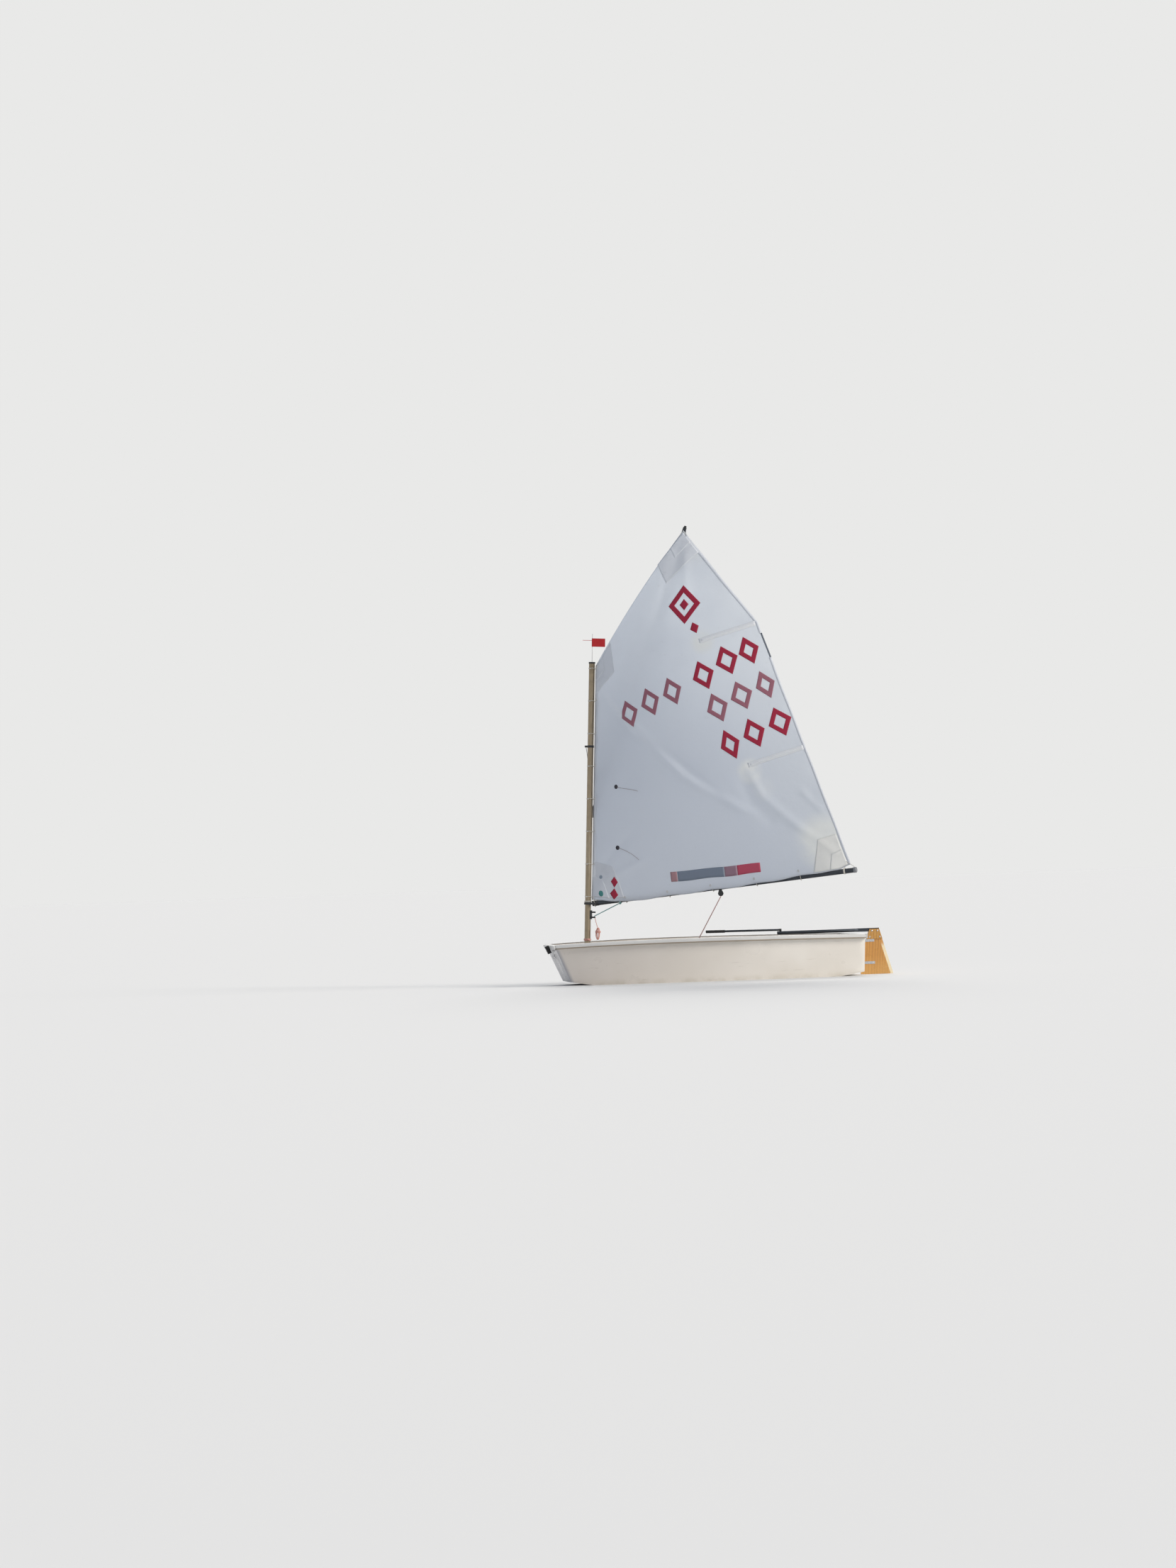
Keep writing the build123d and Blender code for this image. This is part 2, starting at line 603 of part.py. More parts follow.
def rudder_blade():
    aft_x = BLADE_EDGE_X - BLADE_CHORD
    knee_z = BLADE_TOP - (BLADE_CHORD - HEAD_SETBACK - BLADE_TOP_CHORD) / tan(radians(BLADE_SWEEP))
    top_z = TILLER_HEIGHT - TONGUE_HEIGHT / 2
    top_fore, top_aft = head_edges(top_z)
    outline = Polyline(
        (BLADE_EDGE_X, 0, HEAD_FOOT), (top_fore, 0, top_z), (top_aft, 0, top_z), (aft_x, 0, knee_z),
        (aft_x, 0, BLADE_BOTTOM), (BLADE_EDGE_X, 0, BLADE_BOTTOM), close=True)
    blade = extrude(make_face(outline), BLADE_THICKNESS / 2, dir=(0, 1, 0), both=True)
    blade = fillet(blade.edges().filter_by(Axis.Y).group_by(Axis.Z)[0], BLADE_CORNER)
    for lean in (0, BLADE_SWEEP):
        blade &= Location((aft_x, 0, knee_z), (0, lean, 0)) * trailing_taper()
    return blade


def rudder_cheeks():
    low_fore, low_aft = head_edges(CHEEK_BOTTOM)
    top_fore, top_aft = head_edges(BLADE_TOP)
    outline = Polyline((low_fore, 0, CHEEK_BOTTOM), (top_fore, 0, BLADE_TOP), (top_aft, 0, BLADE_TOP),
                       (low_aft, 0, CHEEK_BOTTOM), close=True)
    plate = extrude(make_face(outline), CHEEK_THICKNESS / 2, dir=(0, 1, 0), both=True)
    offset = (BLADE_THICKNESS + CHEEK_THICKNESS) / 2
    return Compound([Location((0, side * offset, 0)) * plate for side in (-1, 1)])


def tiller():
    """A tube over the transom, and the flat tongue that the cheeks clasp."""
    tongue_length = RUDDER_EDGE_GAP + HEAD_SETBACK + BLADE_TOP_CHORD
    tongue = Box(tongue_length, BLADE_THICKNESS, TONGUE_HEIGHT, align=AFT)
    tube = Cylinder(TILLER_DIAMETER / 2, TILLER_LENGTH, rotation=(0, 90, 0), align=UP)
    return Location((RUDDER_AXIS_X, 0, TILLER_HEIGHT)) * (tongue + tube)


def tiller_extension():
    pivot_x = RUDDER_AXIS_X + TILLER_LENGTH - TILLER_DIAMETER
    low = TILLER_HEIGHT + TILLER_DIAMETER / 2 + SOFT_GAP
    radius = EXTENSION_DIAMETER / 2
    swivel = Cylinder(radius, 2 * radius + SWIVEL_RISE, align=UP)
    rod = Cylinder(radius, EXTENSION_LENGTH, rotation=(0, 90, 0), align=UP)
    grip = Cylinder(radius + GRIP_THICKNESS, GRIP_LENGTH, rotation=(0, 90, 0), align=DOWN)
    rod += Location((EXTENSION_LENGTH, 0, 0)) * grip
    piece = swivel + Location((0, 0, radius + SWIVEL_RISE)) * rod
    return Location((pivot_x, 0, low), (0, 0, -EXTENSION_ANGLE)) * piece


def daggerboard():
    board = Box(BOARD_CHORD, BOARD_THICKNESS, BOARD_LENGTH, align=DOWN)
    board = fillet(board.edges().filter_by(Axis.Y).group_by(Axis.Z)[0], BOARD_CORNER)
    return Location((BOARD_CENTRE_X, 0, BOARD_TOP)) * board


def daggerboard_stops():
    low = CASE_TOP + CAP_THICKNESS + SOFT_GAP
    stops = []
    for side in (-1, 1):
        stop = Box(BOARD_CHORD, STOP_WIDTH, STOP_HEIGHT, align=UP)
        stop = fillet(stop.edges().filter_by(Axis.X).group_by(Axis.Z)[-1], STOP_WIDTH / 3)
        stops.append(Location((BOARD_CENTRE_X, side * (BOARD_THICKNESS + STOP_WIDTH) / 2, low)) * stop)
    return Compound(stops)


def block_cheeks(radius, thickness, spread, top):
    """Two cheek plates, each a round end with a taper up to the becket."""
    plates = []
    for side in (-1, 1):
        neck = radius * NECK_SHARE
        low = radius * sqrt(0.5)
        outline = Polyline((-radius, 0), (-neck, top), (neck, top), (radius, 0), (low, -low), (0, -radius),
                           (-low, -low), close=True)
        plate = extrude(Plane.XZ * make_face(outline), thickness / 2, both=True)
        plates.append(Location((0, side * (spread + thickness) / 2, 0)) * plate)
    return plates


def ratchet_block():
    """A sheave between two cheeks, standing on the bulkhead's flange."""
    x = BULKHEAD_AFT_FACE + BULKHEAD_THICKNESS - BULKHEAD_FLANGE / 2
    block = Cylinder(RATCHET_RADIUS * SHEAVE_SHARE, SHEAVE_WIDTH, rotation=(90, 0, 0))
    for plate in block_cheeks(RATCHET_RADIUS, RATCHET_CHEEK, SHEAVE_WIDTH, RATCHET_FOOT):
        block += Location((0, 0, 0), (180, 0, 0)) * plate
    block += Box(2 * RATCHET_RADIUS * NECK_SHARE, SHEAVE_WIDTH, RATCHET_FOOT, align=DOWN)
    return Location((x, 0, BULKHEAD_TOP + RATCHET_FOOT)) * block


def bow_fender():
    depth, width, height = FENDER_SIZE
    block = Box(depth, width, height, align=(Align.MIN, Align.CENTER, Align.MAX))
    block = fillet(block.edges().filter_by(Axis.Z), depth / 3)
    place = Location((HALF_LENGTH, 0, hull_form(HALF_LENGTH)[1]), (0, BOW_RAKE, 0))
    return place * Location((END_GUNWALE_WIDTH, 0, 0)) * block


def painter_eye():
    place = Location((HALF_LENGTH, 0, hull_form(HALF_LENGTH)[1]), (0, BOW_RAKE, 0))
    ring = Cylinder(PAINTER_EYE_BORE + PAINTER_EYE_WIRE, 2 * PAINTER_EYE_WIRE, rotation=(90, 0, 0))
    centre = PAINTER_EYE_BORE + PAINTER_EYE_WIRE
    pad = Box(*PAINTER_PAD, align=FORE)
    ring = Location((centre, 0, 0)) * ring
    eye = ring + pad - Location((centre, 0, 0)) * Cylinder(PAINTER_EYE_BORE, FAR, rotation=(90, 0, 0))
    return place * Location((0, 0, -PAINTER_EYE_BELOW_SHEER)) * eye


def mast():
    tube = along_mast(MAST_RADIUS, -MAST_BELOW_DECK, MAST_ABOVE_DECK)
    return tube - along_mast(MAST_RADIUS - MAST_WALL, -MAST_BELOW_DECK - 1, MAST_ABOVE_DECK + 1)


def mast_cap():
    rim, height = MAST_CAP
    cap = Cylinder(MAST_RADIUS + rim, height, align=UP)
    rod = Cylinder(ROD_RADIUS, ROD_LENGTH, align=UP)
    return MAST_FRAME * Location((0, 0, MAST_ABOVE_DECK)) * (cap + rod)


def wind_vane():
    """A sleeve on the masthead rod with a flag behind it and a pointer ahead."""
    sleeve = Cylinder(ROD_RADIUS + VANE_SLEEVE, FLAG_HEIGHT) - Cylinder(ROD_RADIUS + SOFT_GAP, FAR)
    flag = Box(FLAG_LENGTH, FLAG_THICKNESS, FLAG_HEIGHT, align=AFT)
    flag = Location((-ROD_RADIUS - VANE_ROOT, 0, 0)) * flag
    pointer = Cylinder(POINTER_RADIUS, POINTER_LENGTH, rotation=(0, 90, 0), align=UP)
    pointer = Location((ROD_RADIUS + VANE_ROOT, 0, FLAG_HEIGHT / 4)) * pointer
    vane = sleeve + flag + pointer
    return MAST_FRAME * Location((0, 0, MAST_ABOVE_DECK + VANE_HEIGHT)) * vane


def snotter_eye():
    wall, height = SNOTTER_RING
    ring = Cylinder(MAST_RADIUS + wall, height) - Cylinder(MAST_RADIUS + SEAT_GAP, FAR)
    piece = ring + Location((MAST_RADIUS + SNOTTER_EAR_ROOT, 0, 0)) * Box(*SNOTTER_EAR, align=FORE)
    return RIG_FRAME * Location((0, 0, SNOTTER_EYE_HEIGHT)) * piece


def vang_cleat():
    """A clam cleat on the mast's after side, below the boom."""
    aft_up = (Align.MAX, Align.CENTER, Align.MIN)
    piece = Box(*CLEAT_PAD, align=aft_up)
    for height in CLEAT_HORN_HEIGHTS:
        piece += Location((-CLEAT_HORN_ROOT, 0, height)) * Box(*CLEAT_HORN, align=aft_up)
    piece = Location((-MAST_RADIUS + CLEAT_ROOT, 0, VANG_CLEAT_HEIGHT)) * piece
    piece -= Cylinder(MAST_RADIUS + SEAT_GAP, FAR)
    return RIG_FRAME * piece


def mast_fittings():
    return Compound([mast_cap(), snotter_eye(), vang_cleat()])


def boom_frame():
    return RIG_FRAME * Location((-LUFF_OFFSET, 0, TACK_HEIGHT - BOOM_DROP), (0, BOOM_SLOPE, 0))


def boom_jaws():
    """A fork that half embraces the mast, with the socket that the boom fits against."""
    length, thickness = JAW
    fork = Box(length, 2 * (MAST_RADIUS + JAW_WALL), thickness)
    fork = fillet(fork.edges().filter_by(Axis.Z), JAW_CORNER)
    fork = Location((JAW_FORE - length / 2, 0, 0)) * fork
    notch = Cylinder(MAST_RADIUS + MAST_CLEARANCE, FAR)
    notch += Location((FAR / 2, 0, 0)) * Box(FAR, 2 * (MAST_RADIUS + MAST_CLEARANCE), FAR)
    base = RIG_FRAME * Location((0, 0, TACK_HEIGHT - BOOM_DROP)) * fork
    socket = Cylinder(BOOM_RADIUS + SOCKET_WALL, SOCKET_LENGTH, rotation=(0, -90, 0), align=UP)
    socket = Location((-JAW_SOCKET_START, 0, 0)) * socket
    seat = Location((-BOOM_START, 0, 0)) * Cylinder(BOOM_RADIUS, FAR, rotation=(0, -90, 0), align=UP)
    return base + boom_frame() * socket - boom_frame() * seat - RIG_FRAME * notch


def boom():
    tube = Cylinder(BOOM_RADIUS, BOOM_LENGTH - BOOM_START, rotation=(0, -90, 0), align=UP)
    bore = Cylinder(BOOM_RADIUS - BOOM_WALL, FAR, rotation=(0, -90, 0), align=UP)
    return boom_frame() * Location((-BOOM_START, 0, 0)) * (tube - bore)


def boom_end_cap():
    cap = Cylinder(BOOM_RADIUS + SOCKET_WALL, BOOM_CAP_LENGTH, rotation=(0, -90, 0), align=UP)
    cap = chamfer(cap.edges().group_by(Axis.X)[0], BOOM_CAP_CHAMFER)
    return boom_frame() * Location((-BOOM_LENGTH, 0, 0)) * cap


def boom_block():
    """A sheave between two cheeks that hangs from a band round the boom."""
    thickness, width = BLOCK_BAND
    band = Cylinder(BOOM_RADIUS + thickness, width) - Cylinder(BOOM_RADIUS + SEAT_GAP, FAR)
    band = Location((0, 0, 0), (0, 90, 0)) * band
    drop = SHEAVE_RADIUS + BLOCK_HANG
    block = Cylinder(SHEAVE_RADIUS * SHEAVE_SHARE, SHEAVE_WIDTH, rotation=(90, 0, 0))
    for plate in block_cheeks(SHEAVE_RADIUS, BLOCK_CHEEK, SHEAVE_WIDTH, drop - thickness / 2):
        block += plate
    block += Box(2 * SHEAVE_RADIUS * NECK_SHARE, SHEAVE_WIDTH, drop - thickness / 2, align=UP)
    block = band + Location((0, 0, -BOOM_RADIUS - drop)) * block
    return boom_frame() * Location((-BLOCK_REACH, 0, 0)) * block


def boom_fittings():
    return Compound([boom_jaws(), boom_block(), boom_end_cap()])


def sail_point(reach, height, twist):
    return Vector(-reach * cos(radians(twist)), reach * sin(radians(twist)), height)


def sail():
    """Four curved strips from luff to leech, joined panel by panel."""
    wires = []
    for share, reach, height, twist, camber in SAIL_ROWS:
        luff = Vector(-LUFF_OFFSET, 0, TACK_HEIGHT + share * LUFF_LENGTH)
        leech = sail_point(reach, height, twist)
        chord = leech - luff
        across = chord.cross(Vector(0, 0, 1)).normalized()
        half = across * (SAIL_THICKNESS / 2)
        middle = (luff + leech) * 0.5 + across * (camber * chord.length)
        lee = ThreePointArc(luff + half, middle + half, leech + half)
        weather = ThreePointArc(leech - half, middle - half, luff - half)
        wires.append(Wire([lee, Line(leech + half, leech - half), weather, Line(luff - half, luff + half)]))
    return RIG_FRAME * Solid.make_loft(wires, ruled=True)


def tie_loop(inner_radius, height):
    """A prism whose flat sides stand at the given radius."""
    outline = RegularPolygon(inner_radius, TIE_SIDES, major_radius=False)
    return extrude(outline, height / 2, both=True)


def sail_ties():
    """Ties round the mast that hold the luff, one for each eyelet."""
    pitch = (LUFF_LENGTH - 2 * TIE_FIRST) / (TIE_COUNT - 1)
    ties = []
    for index in range(TIE_COUNT):
        ring = tie_loop(MAST_RADIUS + SOFT_GAP + TIE_THICKNESS, TIE_HEIGHT)
        reach = LUFF_OFFSET - MAST_RADIUS - 3 * SOFT_GAP
        tab = Box(reach, SAIL_THICKNESS, TIE_HEIGHT, align=AFT)
        tie = ring + Location((-MAST_RADIUS - SOFT_GAP, 0, 0)) * tab - tie_loop(MAST_RADIUS + SOFT_GAP, FAR)
        height = TACK_HEIGHT + TIE_FIRST + index * pitch
        ties.append(RIG_FRAME * Location((0, 0, height)) * tie)
    return Compound(ties)


def sprit_line():
    """The sprit's heel beside the mast and its direction to the peak, on the sail's weather side."""
    radius = SPRIT_DIAMETER / 2
    offset = Vector(0, -(radius + SAIL_THICKNESS), 0)
    peak = sail_point(PEAK_REACH, PEAK_HEIGHT, PEAK_TWIST) + offset
    side = -(MAST_RADIUS + radius + SPRIT_HEEL_GAP)
    run = SPRIT_LENGTH - SPRIT_TIP_OVERRUN
    across = hypot(peak.X, peak.Y - side)
    heel = Vector(0, side, peak.Z - sqrt(run * run - across * across))
    return heel, (peak - heel).normalized()


def sprit_piece(radius, start, end, bore=0.0):
    heel, way = sprit_line()
    plane = Plane(origin=heel + way * start, z_dir=way)
    piece = Solid.make_cylinder(radius, end - start, plane)
    if bore:
        piece -= Solid.make_cylinder(bore, end - start, plane)
    return RIG_FRAME * piece


def sprit():
    radius = SPRIT_DIAMETER / 2
    return sprit_piece(radius, SPRIT_PLUG, SPRIT_LENGTH - SPRIT_PLUG, radius - SPRIT_WALL)


def sprit_ends():
    """The heel's plug and the peak's plug with the peg that the sail's loop goes over."""
    radius = SPRIT_DIAMETER / 2
    top = SPRIT_LENGTH - SPRIT_PLUG
    heel = sprit_piece(radius, 0.0, SPRIT_PLUG)
    peg = sprit_piece(radius, top, top + SPRIT_PLUG_COLLAR)
    peg += sprit_piece(radius * PEG_SHARE, top, SPRIT_LENGTH)
    return Compound([heel, peg])


def mirrored(piece):
    return mirror(piece, about=Plane.XZ)


PIECES = {
    "hull_bottom": hull_bottom,
    "side_port": side_port,
    "side_starboard": lambda: mirrored(side_port()),
    "bow_transom": bow_transom,
    "stern_transom": stern_transom,
    "gunwale_port": gunwale_port,
    "gunwale_starboard": lambda: mirrored(gunwale_port()),
    "bow_gunwale": bow_gunwale,
    "stern_gunwale": stern_gunwale,
    "mast_thwart": mast_thwart,
    "mast_bearings": mast_bearings,
    "daggerboard_case": daggerboard_case,
    "case_cap": case_cap,
    "midship_bulkhead": midship_bulkhead,
    "buoyancy_bags": buoyancy_bags,
    "bag_straps": bag_straps,
    "hiking_straps": hiking_straps,
    "transom_gudgeons": transom_gudgeons,
    "ratchet_block": ratchet_block,
    "bow_fender": bow_fender,
    "painter_eye": painter_eye,
    "mast": mast,
    "mast_fittings": mast_fittings,
    "boom": boom,
    "boom_fittings": boom_fittings,
    "sprit": sprit,
    "sprit_ends": sprit_ends,
    "sail": sail,
    "sail_ties": sail_ties,
    "wind_vane": wind_vane,
    "rudder_blade": rudder_blade,
    "rudder_cheeks": rudder_cheeks,
    "rudder_pintles": rudder_pintles,
    "tiller": tiller,
    "tiller_extension": tiller_extension,
    "daggerboard": daggerboard,
    "daggerboard_stops": daggerboard_stops,
}

os.makedirs("parts", exist_ok=True)
for node, make in PIECES.items():
    export_step(make(), f"parts/{node}.step")
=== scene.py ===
from math import atan2, cos, exp, inf, pi, radians, sin, sqrt, tan

import bmesh
import bpy
from mathutils import Matrix, Vector


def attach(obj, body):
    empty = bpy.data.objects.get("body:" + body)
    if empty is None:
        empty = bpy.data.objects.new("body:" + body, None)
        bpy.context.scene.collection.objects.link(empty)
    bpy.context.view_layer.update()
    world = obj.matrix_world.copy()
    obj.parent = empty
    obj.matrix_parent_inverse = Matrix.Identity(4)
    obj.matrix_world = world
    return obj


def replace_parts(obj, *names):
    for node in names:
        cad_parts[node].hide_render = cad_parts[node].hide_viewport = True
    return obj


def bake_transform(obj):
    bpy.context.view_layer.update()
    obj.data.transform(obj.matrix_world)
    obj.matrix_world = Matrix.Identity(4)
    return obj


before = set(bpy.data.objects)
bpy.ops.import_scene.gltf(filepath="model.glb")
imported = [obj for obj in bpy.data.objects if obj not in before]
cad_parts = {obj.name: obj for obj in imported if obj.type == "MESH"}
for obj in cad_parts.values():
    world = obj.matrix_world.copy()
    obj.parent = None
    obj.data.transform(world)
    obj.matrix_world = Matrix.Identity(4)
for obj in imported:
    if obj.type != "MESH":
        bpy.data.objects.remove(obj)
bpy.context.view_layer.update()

# Looks of a small pram dinghy with a spritsail. Metres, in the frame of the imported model:
# +X towards the bow, +Y to port, +Z up, the waterline at z = 0.

scene = bpy.context.scene
AHEAD, PORT, UP = Vector((1, 0, 0)), Vector((0, 1, 0)), Vector((0, 0, 1))

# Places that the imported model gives
DECK = Vector((0.865, 0.0, 0.320))          # where the mast's axis crosses the deck's height
MAST_RAKE = radians(2.9)
MAST_RADIUS = 0.0225
MAST_CAP_HEIGHT = 2.080
BOOM_ANGLE = radians(26.8)
BOOM_DROP = 0.031
BOOM_DROP_AT_CLEW = 0.045
BOOM_RADIUS = 0.019
BOOM_LENGTH = 2.043
BLOCK_REACH = 1.010
SPRIT_LENGTH = 2.286
SPRIT_RADIUS = 0.01375
SNOTTER_EYE = 1.450
LUFF_OFFSET = 0.030
TACK_HEIGHT = 0.312
LUFF_LENGTH = 1.738
# share up the luff, leech reach, leech height, twist in degrees, camber share
SAIL_ROWS = (
    (0.00, 2.032, 0.599, 0.0, 0.015),
    (0.35, 1.695, 1.478, 3.4, 0.085),
    (0.70, 1.357, 2.358, 7.0, 0.095),
    (1.00, 0.752, 3.046, 9.3, 0.040),
)
FOOT_REACH = SAIL_ROWS[0][1] - LUFF_OFFSET
BOOM_SLOPE = atan2(SAIL_ROWS[0][2] - BOOM_DROP_AT_CLEW - TACK_HEIGHT + BOOM_DROP, FOOT_REACH)
BOOM_WAY = Vector((-cos(BOOM_SLOPE), 0, sin(BOOM_SLOPE)))
MAST_FRAME = Matrix.Translation(DECK) @ Matrix.Rotation(-MAST_RAKE, 4, "Y")
MAST_WAY = MAST_FRAME.to_3x3() @ UP
RIG_FRAME = MAST_FRAME @ Matrix.Rotation(-BOOM_ANGLE, 4, "Z")
BOOM_FRAME = (RIG_FRAME @ Matrix.Translation((-LUFF_OFFSET, 0, TACK_HEIGHT - BOOM_DROP))
              @ Matrix.Rotation(BOOM_SLOPE, 4, "Y"))
HULL_HALF_LENGTH = 1.150
HULL_HALF_BEAM = 0.530
# share of the half length, sheer breadth share, sheer height, chine breadth share, chine height
STATIONS = (
    (-1.03, 0.845, 0.309, 0.700, 0.035),
    (-0.52, 0.972, 0.318, 0.802, -0.045),
    (0.00, 1.000, 0.323, 0.813, -0.070),
    (0.52, 0.858, 0.320, 0.689, -0.035),
    (1.03, 0.526, 0.302, 0.372, 0.054),
)
BOTTOM_THICKNESS = 0.009
SIDE_THICKNESS = 0.008
EXTENSION_PIVOT = (-0.592, 0, 0.349)
EXTENSION_WAY = (cos(radians(35)), -sin(radians(35)), 0)
COLOUR_EDGE = 0.0005                        # the width over which one colour gives way to the next


def mix(a, b, share):
    return a + (b - a) * share


def ease(value, low, high):
    """0 below low, 1 above high, and smooth between."""
    share = min(max((value - low) / (high - low), 0.0), 1.0)
    return share * share * (3 - 2 * share)


def through_rows(rows, at, column):
    """A smooth curve through one column of a table whose first column says where each row stands."""
    total = 0.0
    for row in rows:
        weight = 1.0
        for other in rows:
            if other is not row:
                weight *= (at - other[0]) / (row[0] - other[0])
        total += weight * row[column]
    return total


def hull_form(x):
    """Sheer half breadth, sheer height, chine half breadth and chine height at x."""
    sheer, sheer_z, chine, chine_z = (through_rows(STATIONS, x / HULL_HALF_LENGTH, k) for k in (1, 2, 3, 4))
    return sheer * HULL_HALF_BEAM, sheer_z, chine * HULL_HALF_BEAM, chine_z


def side_breadth(x, z):
    """Half breadth over the hull's sides at x and a height."""
    sheer_y, sheer_z, chine_y, chine_z = hull_form(x)
    return mix(chine_y, sheer_y, (z - chine_z) / (sheer_z - chine_z))


def crossing(is_before, low, high, halvings):
    """Where a test that holds at low stops holding on the way to high."""
    for _ in range(halvings):
        middle = (low + high) / 2
        low, high = (middle, high) if is_before(middle) else (low, middle)
    return low


def floor_height(x):
    return hull_form(x)[3] + BOTTOM_THICKNESS


def boom_spot(reach, above=0.0):
    """A point on the boom's axis, or so far above it, in the rig's frame."""
    return Vector((-reach, 0, TACK_HEIGHT - BOOM_DROP + (reach - LUFF_OFFSET) * tan(BOOM_SLOPE) + above))


# Materials

def paint(colour, dimmed=1.0):
    """A colour written as it shows on screen, 0 to 255, as the shader's own four numbers."""
    linear = (((v / 255 + 0.055) / 1.055) ** 2.4 if v > 10 else v / 255 / 12.92 for v in colour)
    return (*(v * dimmed for v in linear), 1.0)


class Nodes:
    """The nodes of a material or of the world."""

    def __init__(self, owner):
        owner.use_nodes = True
        self.tree = owner.node_tree

    def node(self, kind, settings=(), **inputs):
        """A new node with its settings. An input is a value or another node's output."""
        made = self.tree.nodes.new("ShaderNode" + kind)
        for name, value in dict(settings).items():
            setattr(made, name, value)
        for name, value in inputs.items():
            self.feed(made.inputs[name.replace("_", " ")], value)
        return made

    def feed(self, socket, value):
        if isinstance(value, bpy.types.NodeSocket):
            self.tree.links.new(value, socket)
        else:
            socket.default_value = value

    def joined(self, kind, operation, *values):
        made = self.node(kind, {"operation": operation})
        for socket, value in zip(made.inputs, values):
            self.feed(socket, value)
        return made.outputs

    def maths(self, operation, *values):
        return self.joined("Math", operation, *values)[0]

    def vectors(self, operation, *values):
        return self.joined("VectorMath", operation, *values)

    def blended(self, share, first, second):
        """One colour that gives way to another."""
        made = self.node("Mix", {"data_type": "RGBA"}, Factor=share)
        self.feed(made.inputs[6], first)
        self.feed(made.inputs[7], second)
        return made.outputs[2]

    def both(self, share, first, second):
        """Two shaders mixed."""
        made = self.node("MixShader", Fac=share)
        self.feed(made.inputs[1], first.outputs[0])
        self.feed(made.inputs[2], second.outputs[0])
        return made.outputs[0]


class Finish(Nodes):
    """A material in the making: a Principled shader and the nodes that feed it."""

    def __init__(self, name, colour, roughness, within=None, **sockets):
        self.made = bpy.data.materials.new(name)
        super().__init__(self.made)
        self.shader = self.tree.nodes["Principled BSDF"]
        self.colour = paint(colour)
        for socket, value in dict(Base_Color=self.colour, Roughness=roughness, **sockets).items():
            self.shader.inputs[socket.replace("_", " ")].default_value = value
        self.place = self.node("TexCoord").outputs["Object"]
        if within:
            self.place = self.node("Mapping", {"vector_type": "TEXTURE"}, Vector=self.place,
                                   Location=within.to_translation(), Rotation=within.to_euler()).outputs[0]
        self.bumped = None

    def along(self, direction, origin=(0, 0, 0)):
        """How far a point lies along a direction, in metres."""
        return self.vectors("DOT_PRODUCT", self.vectors("SUBTRACT", self.place, origin)[0], direction)["Value"]

    def near(self, spot, full, none):
        """1 near a spot, and 0 far from it."""
        return self.ramp(self.vectors("DISTANCE", self.place, spot)["Value"], full, none, 1.0, 0.0)

    def noise(self, scale, detail, stretch=None, roughness=0.55):
        place = self.place
        if stretch:
            place = self.node("Mapping", Vector=place, Scale=stretch).outputs[0]
        return self.node("TexNoise", Vector=place, Scale=scale, Detail=detail, Roughness=roughness).outputs["Fac"]

    def threads(self, scale, direction):
        """Ridges across a direction, as many to the metre as scale says."""
        return self.maths("SINE", self.maths("MULTIPLY", self.along(direction), 2 * pi * scale))

    def weave(self, scale, warp, weft):
        """A plain weave: threads over and under each other."""
        return self.maths("MULTIPLY", self.threads(scale / 2, warp), self.threads(scale / 2, weft))

    def ramp(self, value, low, high, start=0.0, end=1.0):
        return self.node("MapRange", {"interpolation_type": "SMOOTHSTEP"}, Value=value, From_Min=low,
                         From_Max=high, To_Min=start, To_Max=end).outputs[0]

    def tint(self, factor, colour, dimmed=1.0):
        """Lays a colour over the base colour, as strongly as factor says."""
        self.colour = self.blended(factor, self.colour, paint(colour, dimmed))
        self.feed(self.shader.inputs["Base Color"], self.colour)
        return self

    def stain(self, value, low, high, share, colour, dimmed=1.0):
        """Lays a colour on, from none where a value is low up to a share where it is high."""
        return self.tint(self.ramp(value, low, high, 0.0, share), colour, dimmed)

    def shine(self, value, low, high):
        """Roughness between two values."""
        self.feed(self.shader.inputs["Roughness"], self.ramp(value, 0.3, 0.7, low, high))
        return self

    def relief(self, height, depth):
        """Bumps of that depth in metres, over those laid before."""
        before = {"Normal": self.bumped} if self.bumped else {}
        self.bumped = self.node("Bump", Height=height, Strength=1.0, Distance=depth, **before).outputs[0]
        self.feed(self.shader.inputs["Normal"], self.bumped)
        return self

    def translucent(self, share, colour):
        """Lets light through from behind, as thin cloth does."""
        through = self.node("BsdfTranslucent", Color=paint(colour), Normal=self.bumped)
        self.feed(self.tree.nodes["Material Output"].inputs["Surface"], self.both(share, self.shader, through))
        return self


def gel_coat():
    """The hull's outside: painted shade on the bow transom and along the sides towards the bow, and darker in
    patches towards and below the waterline.
    """
    f = Finish("gel_coat", (238, 233, 225), 0.34, Coat_Weight=0.25, Coat_Roughness=0.18)
    # painted shade: the sides grow darker towards the bow
    f.stain(f.along(AHEAD), -0.75, 1.0, 0.75, (218, 209, 200))
    # painted shade: the forward-facing bow transom is painted a darker blue-grey
    f.stain(f.along((0.916, 0, -0.402), (1.150, 0, 0.303)), -0.03, 0.0, 0.75, (148, 152, 164))
    f.stain(f.noise(1.7, 3), 0.42, 0.68, 0.3, (212, 204, 192))
    f.stain(f.noise(26, 6, (0.12, 1, 1.6), 0.7), 0.62, 0.72, 0.3, (176, 168, 156))
    low_down = f.ramp(f.along(UP), 0.05, 0.0, 0.0, 0.3)
    f.tint(f.maths("MULTIPLY", low_down, f.ramp(f.noise(9, 5), 0.35, 0.65)), (173, 164, 140))
    f.shine(f.noise(7, 5), 0.26, 0.44)
    f.relief(f.noise(5, 2), 0.0006)
    return f.relief(f.noise(340, 2), 0.00005)


